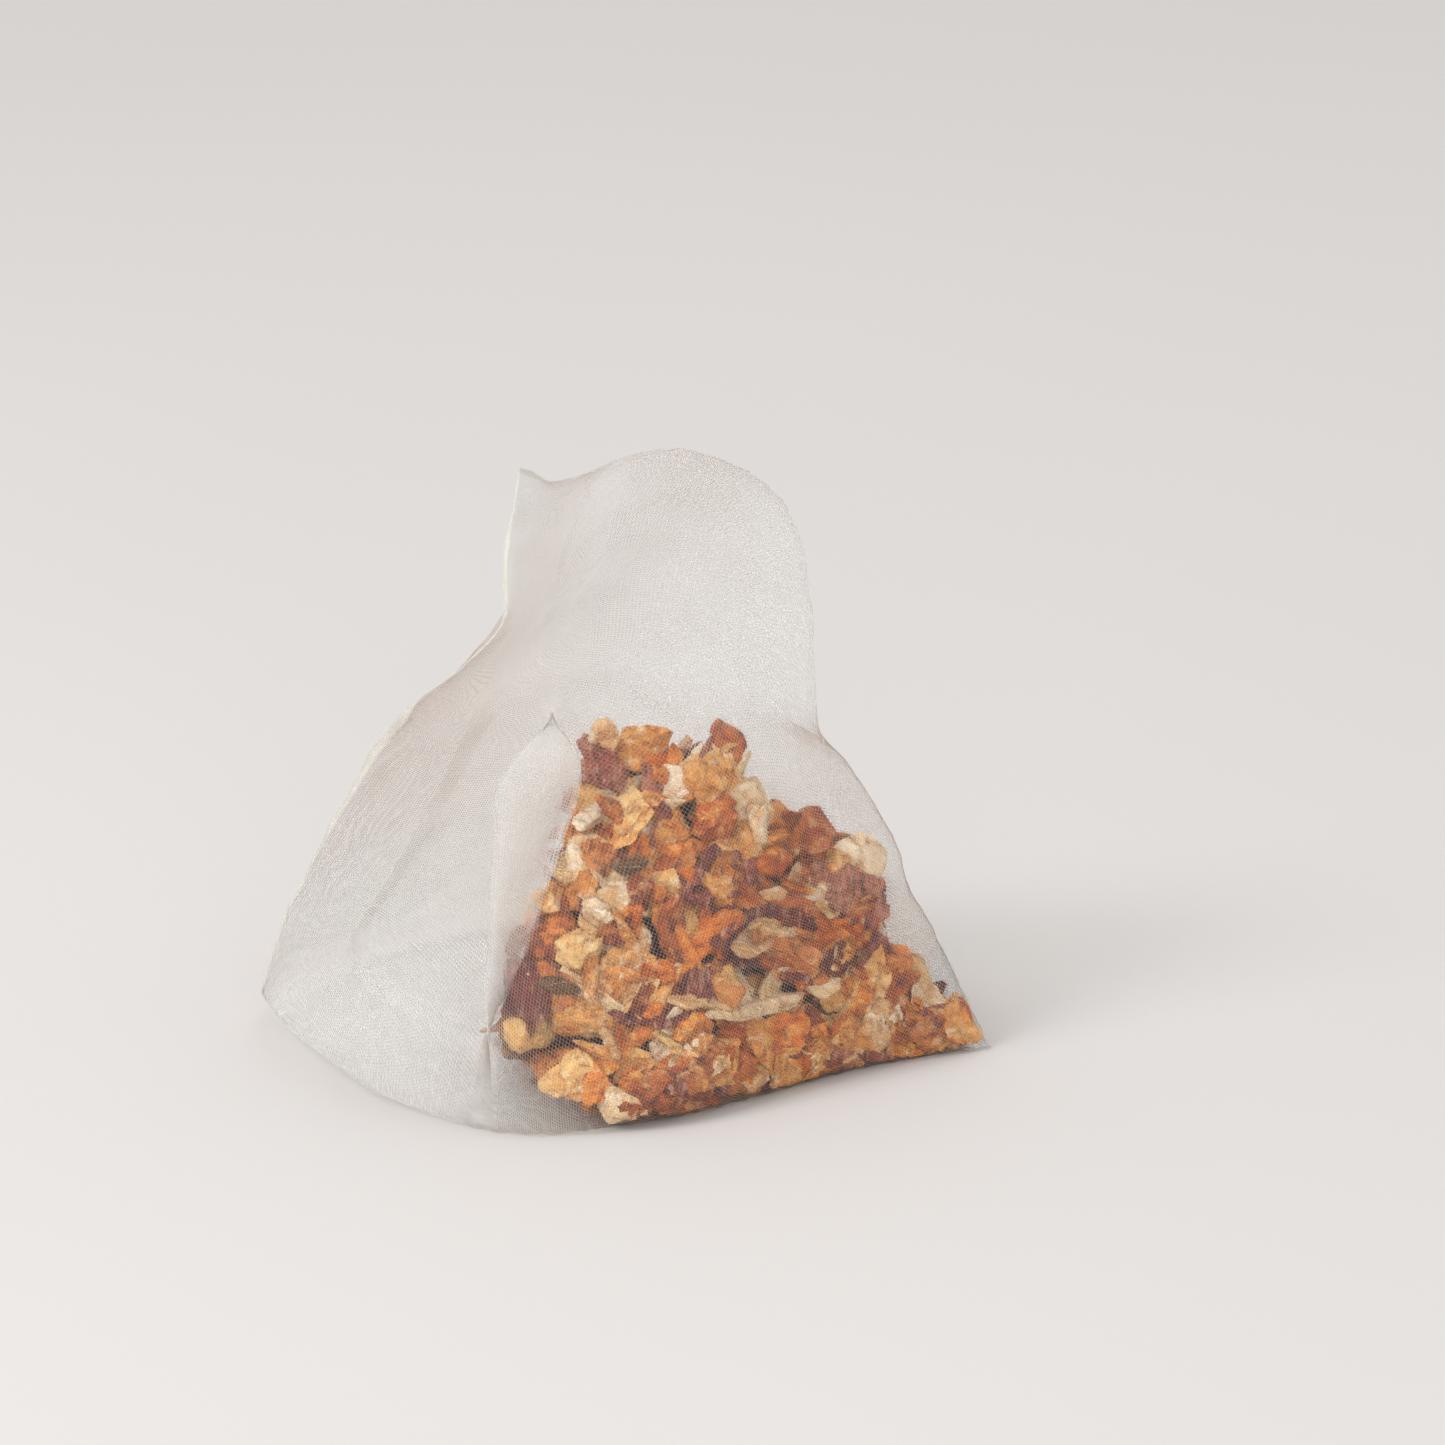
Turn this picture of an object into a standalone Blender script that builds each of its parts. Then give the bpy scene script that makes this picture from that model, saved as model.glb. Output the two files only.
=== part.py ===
"""Pyramid tea bag: a soft four-cornered bag of fine woven mesh, welded along two crossed
seams, with a heap of chopped dried fruit inside.

The bag is lofted as a tube. One end of the tube is pinched flat into the upright seam on
the left, the other end into the seam that lies on the table, a quarter turn round. Four
soft folds join the ends of the two seams. Metres, +Z up, the viewer stands at -Y.
"""

import math

import bmesh
import bpy
import numpy as np
from mathutils import Vector, noise

MM = 0.001

# Driving sizes of the bag, in millimetres
BAG_WIDTH = 66.5          # left corner to right corner
BAG_DEPTH = 52.9          # front of the belly to the hidden back corner
BAG_HEIGHT = 55.8         # table to the crown
CLOTH = 0.30              # wall of the bag
WELD_WIDTH = 1.6          # flat welded band along each seam
PLEAT_LAYER_GAP = 0.75    # between the middle lines of the pleat's layers
WINDOW_SHARE = 0.62       # open part of a cell that is left open in the weave
RIB_HEIGHT = 0.10         # the thicker threads between the open cells

# Sizes of the heap, in millimetres
PIECE_CLEAR = 0.30        # between a piece and what it touches
HEAP_SLOPE = math.radians(38.0)
HEAP_CELL = 1.5           # cell of the heap's own mesh
HEAP_THIN = 0.5           # it ends where it would be thinner than this
CUTS = 6                  # flat cuts on each piece, as a chopper leaves them
HEAP_BROW = 2.5           # depth of the heap at its upper edge
RASTER = 0.35             # cell of the grid that the pieces are packed on
RASTER_MARGIN = 1.75      # the grid reaches this far past the bag's corners
RASTER_BELOW = 2.0        # and this far below the table

# Number of rings and stations of the loft, and of its coarse mesh
RINGS = 64
STATIONS = 128
MESH_STATIONS = 60
RINGS_BEFORE = 8          # from the upright weld to the pleat
RINGS_AFTER = 17          # from the pleat to the lying weld
WINDOW_RINGS = 2          # every second cell along the tube is an open one
WINDOW_STATIONS = 6       # and every sixth round it
TUBE_LENGTH = 66.0        # seam to seam along the cloth

# The viewer's sight line, on which the seen outline was measured
SIGHT_TILT = math.radians(19.0)
SIGHT_DISTANCE = 600.0
SIGHT_AIM = np.array([8.6, 24.0, 30.7])
SIGHT_RIGHT = np.array([1.0, 0.0, 0.0])
SIGHT_AHEAD = np.array([0.0, math.cos(SIGHT_TILT), -math.sin(SIGHT_TILT)])
SIGHT_UP = np.array([0.0, math.sin(SIGHT_TILT), math.cos(SIGHT_TILT)])

# Grid of cells in the viewer's plane, as wide and as high as the bag is seen
SEEN_HEIGHT = BAG_DEPTH * math.sin(SIGHT_TILT) + BAG_HEIGHT * math.cos(SIGHT_TILT)
RASTER_START = np.array([-BAG_WIDTH / 2.0 - RASTER_MARGIN, -RASTER_BELOW])
RASTER_SIZE = (int(round((BAG_WIDTH + 2.0 * RASTER_MARGIN) / RASTER)),
               int(round((SEEN_HEIGHT + RASTER_BELOW) / RASTER)))

# Size at which the outline points below were taken, and the ratio of the bag's size to it
DRAWN_SIZE = np.array([66.5, 52.9, 55.8])
RATIO = np.array([BAG_WIDTH, BAG_DEPTH, BAG_HEIGHT]) / DRAWN_SIZE


def seen(across, up, back):
    """A point that the viewer sees at (across, up), lying `back` behind the belly."""
    eye = SIGHT_AIM - SIGHT_DISTANCE * SIGHT_AHEAD
    ray = SIGHT_DISTANCE * SIGHT_AHEAD + (across - SIGHT_AIM[0]) * SIGHT_RIGHT
    ray = ray + (up - SIGHT_AIM @ SIGHT_UP) * SIGHT_UP
    return eye + ray * (back - eye[1]) / ray[1]


def sight(points):
    """Across, up and depth of points, as the viewer sees them."""
    eye = SIGHT_AIM - SIGHT_DISTANCE * SIGHT_AHEAD
    away = points - eye
    depth = away @ SIGHT_AHEAD
    scale = SIGHT_DISTANCE / depth
    across = away @ SIGHT_RIGHT * scale + SIGHT_AIM[0]
    up = away @ SIGHT_UP * scale + SIGHT_AIM @ SIGHT_UP
    return across, up, depth


# Corners: left low, top, right low, and the hidden back corner
LEFT_CORNER = seen(-32.5, 12.8, 29.0)
TOP_CORNER = seen(-9.5, 59.4, 20.0)
RIGHT_CORNER = seen(32.5, 8.2, 22.5)
BACK_CORNER = np.array([-8.0, 54.0, 0.8])

# Upright seam, from the left corner to the top corner
UPRIGHT_SEAM = [LEFT_CORNER, seen(-30.0, 20.1, 27.5), seen(-26.0, 28.1, 25.0),
                seen(-20.2, 37.5, 22.0), seen(-14.3, 42.1, 19.5), seen(-10.9, 46.1, 18.0),
                seen(-10.7, 51.4, 18.5), TOP_CORNER]
# Lying seam, from the right corner to the back corner
LYING_SEAM = [RIGHT_CORNER, np.array([18.0, 37.0, 0.9]), np.array([4.0, 48.0, 0.8]), BACK_CORNER]
# Crown fold, from the top corner over the shoulder and the waist to the right corner
CROWN_FOLD = [TOP_CORNER, seen(-5.9, 57.2, 21.5), seen(-2.0, 59.2, 23.0), seen(4.8, 61.3, 26.0),
              seen(9.5, 59.6, 28.0), seen(14.3, 55.5, 29.0), seen(16.2, 49.4, 29.0),
              seen(16.7, 42.0, 28.5), seen(17.5, 35.1, 27.0), seen(20.0, 32.6, 26.5),
              seen(22.7, 28.1, 25.5), seen(25.4, 21.9, 24.5), seen(28.5, 15.6, 23.5), RIGHT_CORNER]
# Belly fold, from the left corner forward to the table and on to the right corner
BELLY_FOLD = [LEFT_CORNER, seen(-29.4, 9.6, 21.0), seen(-26.2, 7.3, 14.0), seen(-22.4, 4.9, 9.0),
              seen(-15.6, 2.2, 4.2), seen(-8.6, 0.7, 1.5), seen(1.3, 1.7, 2.9),
              seen(10.2, 3.6, 9.2), seen(20.9, 6.4, 17.0), RIGHT_CORNER]
# Heel fold, along the table behind the left flap
HEEL_FOLD = [LEFT_CORNER, np.array([-30.0, 37.0, 2.4]), np.array([-21.0, 48.0, 1.0]), BACK_CORNER]
# Back fold, from the top corner down to the back corner
BACK_FOLD = [TOP_CORNER, np.array([-6.5, 27.0, 49.0]), np.array([-1.0, 37.0, 42.0]),
             np.array([-1.0, 46.0, 24.0]), BACK_CORNER]

# How far each side swells past the straight line between its folds
FRONT_SWELL = 3.0
BACK_RIGHT_SWELL = 2.6
BACK_LEFT_SWELL = 2.0
BOTTOM_SWELL = 1.5
FOLD_ROUNDS = 7           # passes that round the folds
FOLD_SPREAD = 0.035       # share of the girth over which a rounded fold is brought back out
SEAM_REACH = 0.35         # share of the tube over which a seam's bend dies out

# The pleat: a dart whose foot is low on the belly and which opens under the brow.
# Across and up are as the viewer sees them.
PLEAT_FOOT = (-12.7, 5.6)
PLEAT_LEAN = 0.19         # how its middle line leans to the right with height
PLEAT_SPREAD = 0.286      # width gained with each millimetre of height
PLEAT_BROW = 32.5         # height at which it is widest
PLEAT_FADE_UP = 7.0       # above the brow it opens out over this height
PLEAT_FADE = 16.0         # and to either side over this width
PLEAT_RING = 22           # ring that its middle line is laid on
PLEAT_HALF = 4            # rings from there to each of its two turns

# Soft ridges and hollows of the front: width, height, line as (across, up)
CREASES = [
    (1.7, 0.55, [(-10.8, 46.0), (-3.2, 51.8), (2.6, 54.5), (6.6, 51.3)]),
    (1.1, 0.30, [(-10.0, 49.5), (-4.5, 53.5)]),
    (2.2, 0.80, [(-12.6, 38.4), (-5.0, 42.4), (1.7, 45.5), (7.9, 50.4), (12.0, 53.6)]),
    (1.9, 0.65, [(-2.8, 35.3), (-1.0, 38.8), (2.1, 43.8), (5.7, 48.7)]),
    (1.6, 0.45, [(14.0, 53.1), (14.2, 44.2), (15.1, 35.3)]),
    (1.7, 0.50, [(-27.8, 24.6), (-25.5, 22.8), (-23.8, 18.3), (-22.7, 15.2), (-22.4, 5.4)]),
    (3.4, -1.1, [(-12.0, 42.6), (-6.5, 46.2), (-1.0, 49.0)]),
    (3.0, -0.8, [(-10.5, 30.0), (-8.5, 33.5)]),
]

# Kinds of crumb: how boxy, how uneven, thickness to width, bend, and what it is made of
KINDS = {
    "apple_dice": (4.5, 0.10, 0.80, 0.0, "apple_flesh"),
    "apple_slab": (5.0, 0.10, 0.50, 0.08, "apple_flesh"),
    "orange_peel": (3.2, 0.12, 0.70, 0.10, "orange_flesh"),
    "peel_strip": (3.6, 0.10, 0.80, 0.12, "pale_peel"),
    "hibiscus_petal": (2.6, 0.26, 0.32, 0.25, "hibiscus"),
    "rosehip_chunk": (2.8, 0.20, 0.60, 0.12, "rosehip"),
    "seed": (2.0, 0.04, 0.80, 0.0, "seed_coat"),
}
STUFFS = {
    "apple_flesh": (0.62, 0.40, 0.20),
    "orange_flesh": (0.50, 0.17, 0.05),
    "pale_peel": (0.66, 0.48, 0.27),
    "hibiscus": (0.24, 0.09, 0.07),
    "rosehip": (0.40, 0.19, 0.12),
    "seed_coat": (0.16, 0.13, 0.09),
    "dried_fruit": (0.38, 0.21, 0.12),
}

# The pieces of the mix that lie at the wall: kind, across, up, width, height, tilt.
# The ones in front come first. Across and up are as the viewer sees them.
PIECES = [
    ("peel_strip", 11.7, 28.1, 1.5, 4.2, 4),
    ("hibiscus_petal", -1.9, 32.6, 4.6, 5.4, 12),
    ("apple_dice", 8.0, 32.1, 5.6, 5.2, 38),
    ("apple_slab", 7.9, 28.7, 6.4, 2.3, -15),
    ("orange_peel", 1.3, 29.5, 5.8, 2.8, -20),
    ("orange_peel", 3.1, 31.8, 2.0, 1.8, 10),
    ("apple_dice", 7.9, 26.3, 4.6, 2.6, -6),
    ("peel_strip", 5.3, 24.3, 6.4, 1.7, 12),
    ("seed", 0.5, 24.1, 2.8, 1.3, 20),
    ("orange_peel", 13.0, 24.4, 3.3, 2.5, 0),
    ("hibiscus_petal", 20.0, 21.9, 8.4, 4.8, -25),
    ("rosehip_chunk", 15.6, 26.5, 4.4, 2.1, -32),
    ("orange_peel", 11.3, 25.3, 2.4, 2.6, 30),
    ("rosehip_chunk", -2.8, 25.4, 7.0, 3.0, -40),
    ("peel_strip", -4.9, 24.0, 3.0, 3.2, 35),
    ("hibiscus_petal", 7.9, 21.9, 7.0, 2.7, 6),
    ("orange_peel", 9.6, 24.2, 1.4, 1.9, 0),
    ("rosehip_chunk", 3.2, 26.9, 4.4, 2.6, 15),
    ("hibiscus_petal", -3.4, 29.4, 4.4, 4.2, 20),
    ("peel_strip", -2.3, 19.9, 3.8, 2.0, -30),
    ("orange_peel", 0.6, 20.0, 1.7, 2.3, 8),
    ("peel_strip", 13.3, 18.2, 4.8, 0.9, -8),
    ("seed", 11.3, 19.7, 2.8, 1.1, 45),
    ("peel_strip", 20.2, 18.0, 7.2, 1.3, -20),
    ("apple_slab", 5.2, 19.4, 4.9, 3.6, 20),
    ("orange_peel", -6.4, 17.9, 4.4, 5.2, 25),
    ("rosehip_chunk", 15.3, 15.8, 2.7, 4.4, -12),
    ("apple_slab", 9.0, 17.2, 3.8, 3.4, -30),
    ("apple_dice", -1.3, 16.0, 5.6, 4.6, 14),
    ("hibiscus_petal", 18.8, 15.6, 3.6, 2.8, 30),
    ("peel_strip", 7.1, 14.4, 5.0, 2.2, 3),
    ("rosehip_chunk", 2.7, 16.3, 3.4, 2.6, -24),
    ("orange_peel", 12.0, 13.2, 4.2, 2.3, -12),
    ("apple_dice", 21.8, 14.3, 4.8, 3.9, 12),
    ("peel_strip", 26.3, 13.9, 2.2, 5.0, 20),
    ("peel_strip", 26.0, 8.6, 10.6, 1.2, 7),
    ("orange_peel", 20.9, 10.3, 5.6, 4.3, 10),
    ("peel_strip", 17.6, 10.3, 1.4, 5.0, 2),
    ("orange_peel", 24.9, 11.2, 3.2, 2.8, 25),
    ("hibiscus_petal", 28.6, 10.9, 3.0, 2.2, -30),
    ("seed", -5.9, 13.4, 3.6, 1.4, -10),
    ("peel_strip", 6.9, 12.0, 6.8, 1.5, -8),
    ("orange_peel", 9.9, 9.4, 3.7, 3.5, 0),
    ("rosehip_chunk", 13.6, 8.7, 4.4, 5.2, -18),
    ("orange_peel", 2.1, 10.1, 1.8, 5.0, -30),
    ("peel_strip", 2.0, 13.2, 1.7, 3.2, -12),
    ("apple_slab", -3.4, 10.7, 6.8, 4.3, -8),
    ("apple_dice", -8.6, 9.8, 4.6, 4.2, 20),
    ("peel_strip", 6.4, 8.1, 2.4, 2.0, 40),
    ("peel_strip", 4.4, 6.7, 2.4, 1.8, -30),
    ("rosehip_chunk", -4.6, 6.3, 7.6, 3.6, 4),
    ("apple_slab", 2.1, 5.1, 5.6, 2.4, 8),
    ("orange_peel", 10.2, 6.3, 2.4, 1.8, 0),
    ("orange_peel", 16.3, 12.6, 3.0, 1.6, 14),
    ("hibiscus_petal", 11.6, 16.0, 2.8, 3.0, 40),
    ("seed", 13.0, 11.2, 2.2, 1.2, -20),
]

# Outline of the heap as the viewer sees it, from its upper left corner clockwise
HEAP_OUTLINE = [
    (-4.6, 33.6), (-2.8, 35.3), (2.6, 35.9), (5.9, 35.3), (9.7, 35.1), (10.6, 30.6),
    (12.0, 29.2), (16.9, 26.8), (20.0, 25.4), (24.0, 21.0), (24.9, 17.9), (27.1, 15.6),
    (32.1, 8.9), (20.9, 5.4), (10.2, 2.6), (5.7, 1.7), (-4.1, 1.4), (-10.8, 6.0),
    (-12.1, 11.2), (-7.4, 23.7),
]


def curve(points, share):
    """Smooth line through points, read at shares of its length."""
    points = np.array(points)
    chord = np.linalg.norm(np.diff(points, axis=0), axis=1)
    length = np.concatenate([[0.0], np.cumsum(chord)])
    knot = np.concatenate([[0.0], np.cumsum(np.sqrt(chord))])
    place = np.interp(np.asarray(share) * length[-1], length, knot)
    step = np.diff(knot)
    slope = np.diff(points, axis=0) / step[:, None]
    tangent = np.zeros_like(points)
    tangent[0] = slope[0]
    tangent[-1] = slope[-1]
    before = slope[:-1] * step[1:, None]
    after = slope[1:] * step[:-1, None]
    tangent[1:-1] = (before + after) / (step[:-1] + step[1:])[:, None]
    i = np.clip(np.searchsorted(knot, place, side="right") - 1, 0, len(points) - 2)
    w = ((place - knot[i]) / step[i])[..., None]
    h = step[i][..., None]
    rise = (3.0 - 2.0 * w) * w * w
    return (points[i] * (1.0 - rise) + points[i + 1] * rise
            + tangent[i] * h * w * (1.0 - w) ** 2 - tangent[i + 1] * h * w * w * (1.0 - w))


def side(start, end, swell, share):
    """Straight across from fold to fold, swollen outward by `swell` in the middle."""
    flat = start * (1.0 - share) + end * share
    return flat + swell * (4.0 * share * (1.0 - share)) ** 0.75


def outward(start, end, ahead, amount):
    """A swell square to the side and to the tube's own direction."""
    way = np.cross(ahead, end - start)
    size = np.linalg.norm(way, axis=-1, keepdims=True)
    return way / np.maximum(size, 1e-6) * amount


def seam_share(stations, start):
    """How far along a flattened seam each station lies, 0 at its first corner, 1 at its last."""
    return np.abs(((stations - start) % 1.0 + 0.5) % 1.0 - 0.5) * 2.0


def loft():
    """Inner face of the cloth as rings of points from the upright to the lying seam."""
    u = np.repeat(np.linspace(0.0, 1.0, RINGS + 1)[:, None], STATIONS, axis=1)
    v = np.repeat((np.arange(STATIONS) / STATIONS)[None, :], RINGS + 1, axis=0)
    belly, crown = curve(BELLY_FOLD, u), curve(CROWN_FOLD, u)
    back, heel = curve(BACK_FOLD, u), curve(HEEL_FOLD, u)
    ahead = np.gradient(0.25 * (belly + crown + back + heel), axis=0)
    arch = (np.sin(math.pi * u) ** 0.8)[..., None]
    quarter = u / 4.0
    sides = [
        (-quarter, quarter, heel, belly, BOTTOM_SWELL),
        (quarter, 0.5 - quarter, belly, crown, FRONT_SWELL),
        (0.5 - quarter, 0.5 + quarter, crown, back, BACK_RIGHT_SWELL),
        (0.5 + quarter, 1.0 - quarter, back, heel, BACK_LEFT_SWELL),
        (1.0 - quarter, 1.0 + quarter, heel, belly, BOTTOM_SWELL),
    ]
    grid = np.zeros((RINGS + 1, STATIONS, 3))
    for first, last, start, end, swell in sides:
        share = (v - first) / np.maximum(last - first, 1e-9)
        inside = (share >= 0.0) & (share <= 1.0)
        share = np.clip(share, 0.0, 1.0)[..., None]
        shape = side(start, end, outward(start, end, ahead, swell * arch), share)
        grid[inside] = shape[inside]
    folds = [(quarter[:, 0], belly[:, 0]), (0.5 - quarter[:, 0], crown[:, 0]),
             (0.5 + quarter[:, 0], back[:, 0]), (1.0 - quarter[:, 0], heel[:, 0])]
    grid = soften(grid, u, folds)
    return follow_seams(grid, u, v[0])


def soften(grid, u, folds):
    """Round the four folds off without moving their lines."""
    soft = grid.copy()
    for _ in range(FOLD_ROUNDS):
        soft = 0.25 * np.roll(soft, 1, axis=1) + 0.5 * soft + 0.25 * np.roll(soft, -1, axis=1)
    amount = np.clip(u / 0.10, 0.0, 1.0) * np.clip((1.0 - u) / 0.22, 0.0, 1.0)
    rings = np.arange(RINGS + 1)
    stations = np.arange(STATIONS)[None, :] / STATIONS
    rounded = soft.copy()
    for place, line in folds:
        low = np.floor(place * STATIONS).astype(int)
        part = (place * STATIONS - low)[:, None]
        here = soft[rings, low % STATIONS] * (1.0 - part) + soft[rings, (low + 1) % STATIONS] * part
        away = np.abs((stations - place[:, None] + 0.5) % 1.0 - 0.5)
        near = np.exp(-(away / FOLD_SPREAD) ** 2)[..., None]
        rounded = rounded + (line - here)[:, None] * near
    return grid + (rounded - grid) * amount[..., None]


def follow_seams(grid, u, stations):
    """Lay the end rings on the two seams, and carry each seam's bend into the rings beside it."""
    low = seam_share(stations, 0.0)
    lying = seam_share(stations, 0.25)
    first = curve(UPRIGHT_SEAM, low)
    last = curve(LYING_SEAM, lying)
    straight_first = LEFT_CORNER + (TOP_CORNER - LEFT_CORNER) * low[:, None]
    straight_last = RIGHT_CORNER + (BACK_CORNER - RIGHT_CORNER) * lying[:, None]
    near_first = (np.clip(1.0 - u / SEAM_REACH, 0.0, 1.0) ** 2)[..., None]
    near_last = (np.clip(1.0 - (1.0 - u) / SEAM_REACH, 0.0, 1.0) ** 2)[..., None]
    grid = grid + (first - straight_first) * near_first + (last - straight_last) * near_last
    grid[0] = first
    grid[-1] = last
    return grid


def smooth_step(value):
    value = np.clip(value, 0.0, 1.0)
    return value * value * (3.0 - 2.0 * value)


def read_rings(grid, ring):
    """The grid read at fractional ring numbers, one for each place."""
    ring = np.clip(ring, 0.0, len(grid) - 1.0)
    low = np.minimum(ring.astype(int), len(grid) - 2)
    part = (ring - low)[..., None]
    column = np.broadcast_to(np.arange(grid.shape[1]), ring.shape)
    return grid[low, column] * (1.0 - part) + grid[low + 1, column] * part


def pleat_middle(up):
    """Where the pleat's middle line is seen, at each height."""
    return PLEAT_FOOT[0] + (up - PLEAT_FOOT[1]) * PLEAT_LEAN


def fold_in_pleat(grid):
    """Lay the left panel over the tea panel in a dart: three layers, widest at the brow."""
    across, up, _ = sight(grid)
    past = across - pleat_middle(up)
    v = np.arange(STATIONS) / STATIONS
    crossing = np.full(STATIONS, np.nan)
    height = np.full(STATIONS, -1.0)
    for j in np.flatnonzero((v > 0.0) & (v < 0.46)):
        hits = np.flatnonzero((past[:-1, j] < 0.0) & (past[1:, j] >= 0.0))
        if len(hits):
            k = hits[0]
            crossing[j] = k + past[k, j] / (past[k, j] - past[k + 1, j])
            height[j] = np.interp(crossing[j], np.arange(RINGS + 1), up[:, j])
    known = np.flatnonzero(~np.isnan(crossing))
    crossing = np.interp(np.arange(STATIONS), known, crossing[known], period=STATIONS)
    for _ in range(6):
        crossing = 0.25 * np.roll(crossing, 1) + 0.5 * crossing + 0.25 * np.roll(crossing, -1)
    rings = np.arange(RINGS + 1)
    first, last = PLEAT_RING - PLEAT_HALF, PLEAT_RING + PLEAT_HALF
    source = np.zeros((RINGS + 1, STATIONS))
    for j in range(STATIONS):
        knots = [0.0, crossing[j] - PLEAT_HALF / 2, crossing[j] + PLEAT_HALF / 2, RINGS]
        source[:, j] = np.interp(rings, [0, first, last, RINGS], knots)
    grid = read_rings(grid, source)
    across, up, _ = sight(grid)
    rise = height - PLEAT_FOOT[1]
    open_up = 1.0 - smooth_step((height - PLEAT_BROW) / PLEAT_FADE_UP)
    width = np.where(height > 0.0, np.clip(rise, 0.0, None) * PLEAT_SPREAD / 2.0, 0.0)
    half = width * open_up
    full = np.clip(width / PLEAT_LAYER_GAP, 0.0, 1.0) * smooth_step(open_up * 1.2)
    for _ in range(2):
        half = 0.25 * np.roll(half, 1) + 0.5 * half + 0.25 * np.roll(half, -1)
        full = 0.25 * np.roll(full, 1) + 0.5 * full + 0.25 * np.roll(full, -1)
    own = 0.5 * (across[last] - across[first])
    reach = half + own * full
    middle = 0.5 * (across[last] + across[first])
    left = 1.0 - smooth_step((middle - across - own) / PLEAT_FADE)
    right = 1.0 - smooth_step((across - middle - own) / PLEAT_FADE)
    step = (rings[:, None] - PLEAT_RING) / PLEAT_HALF
    turn = np.interp(step[:, 0], [-1.0, -0.75, 0.75, 1.0], [1.0, 1.0, -1.0, -1.0])[:, None]
    sideways = np.where(step <= -1.0, left, np.where(step >= 1.0, -right, turn)) * reach
    layer = np.interp(step[:, 0], [-1.0, -0.75, 0.75, 1.0], [-1.0, 0.0, 0.0, 1.0])[:, None]
    inward = np.where(step <= -1.0, -left, np.where(step >= 1.0, right, layer))
    inward = inward * PLEAT_LAYER_GAP * np.clip(full * 1.8, 0.0, 1.0)
    front = (seam_share(v, 0.25) < 0.5)[None, :, None]
    moved = sideways[..., None] * SIGHT_RIGHT + inward[..., None] * SIGHT_AHEAD
    return grid + moved * front


def normals(grid):
    """Outward directions of the cloth at every point of the grid."""
    along = np.gradient(grid, axis=0)
    round_it = np.roll(grid, -1, axis=1) - np.roll(grid, 1, axis=1)
    way = np.cross(along, round_it)
    size = np.linalg.norm(way, axis=-1, keepdims=True)
    return way / np.maximum(size, 1e-9)


def crease(grid):
    """Soft ridges and hollows of the front, each along a line that the viewer sees."""
    across, up, _ = sight(grid)
    facing = smooth_step(-(normals(grid) @ SIGHT_AHEAD) * 2.5)
    lift = np.zeros(across.shape)
    for width, height, line in CREASES:
        line = np.array(line)
        near = np.full(across.shape, 1e9)
        for start, end in zip(line[:-1], line[1:]):
            run = end - start
            share = ((across - start[0]) * run[0] + (up - start[1]) * run[1]) / (run @ run)
            share = np.clip(share, 0.0, 1.0)
            away = np.hypot(across - start[0] - share * run[0], up - start[1] - share * run[1])
            near = np.minimum(near, away)
        lift += height * np.exp(-(near / width) ** 2)
    edge = np.clip(np.minimum(np.arange(RINGS + 1), RINGS - np.arange(RINGS + 1)) / 5.0, 0.0, 1.0)
    return grid + normals(grid) * (lift * facing * edge[:, None])[..., None]


def press_on_table(grid):
    """The belly is pressed flat where it would sink into the table."""
    grid = grid.copy()
    grid[..., 2] = np.maximum(grid[..., 2], CLOTH)
    return grid


def cloth_grid():
    """The whole inner face of the bag, in millimetres."""
    return press_on_table(crease(fold_in_pleat(loft())) * RATIO)


def fold_places(ring):
    """Stations of the four soft folds at a ring: belly, crown, back and heel."""
    quarter = ring / RINGS / 4.0
    return [quarter, 0.5 - quarter, 0.5 + quarter, 1.0 - quarter]


def mesh_rings():
    """Rings of the fine grid that the bag's mesh keeps."""
    last = PLEAT_RING + PLEAT_HALF
    weld = WELD_WIDTH * RINGS / TUBE_LENGTH
    before = np.linspace(weld, PLEAT_RING - PLEAT_HALF, RINGS_BEFORE)
    turns = PLEAT_RING + np.array([-0.75, 0.0, 0.75]) * PLEAT_HALF
    after = np.linspace(last, RINGS - weld, RINGS_AFTER)
    return np.concatenate([[0.0], before, turns, after, [RINGS]])


def mesh_grid(grid):
    """The coarser grid that the bag's mesh is built on: inner points, outer points, and where
    it is pressed on the table. On each ring the nearest station is moved onto each fold."""
    rings = mesh_rings()
    place = np.tile(np.arange(MESH_STATIONS, dtype=float), (len(rings), 1))
    for i, ring in enumerate(rings[1:-1], start=1):
        for fold in fold_places(ring):
            nearest = int(round(fold * MESH_STATIONS))
            place[i, nearest % MESH_STATIONS] = fold * MESH_STATIONS - (nearest // MESH_STATIONS) * MESH_STATIONS
    every = place * STATIONS / MESH_STATIONS
    low = np.floor(every).astype(int)
    part = (every - low)[..., None]
    ring = np.repeat(np.minimum(rings, RINGS - 1e-6)[:, None], MESH_STATIONS, axis=1)
    row = ring.astype(int)
    down = (ring - row)[..., None]
    near, far = low % STATIONS, (low + 1) % STATIONS
    inner = ((grid[row, near] * (1.0 - part) + grid[row, far] * part) * (1.0 - down)
             + (grid[row + 1, near] * (1.0 - part) + grid[row + 1, far] * part) * down)
    out = normals(inner)
    for k in (0, -1):
        for tip in np.flatnonzero(np.linalg.norm(out[k], axis=1) < 0.5):
            beside = inner[k, (tip + 1) % MESH_STATIONS]
            way = inner[k, tip] - beside
            out[k, tip] = way / np.linalg.norm(way)
    weave = (np.arange(len(rings))[:, None] + np.arange(MESH_STATIONS)[None, :]) % 2
    wall = CLOTH + RIB_HEIGHT * weave[..., None]
    outer = inner + out * wall
    pressed = inner[..., 2] <= CLOTH + 1e-6
    outer[pressed] = inner[pressed]
    outer[pressed, 2] = 0.0
    outer[..., 2] = np.maximum(outer[..., 2], 0.0)
    return inner, outer, pressed


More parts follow.
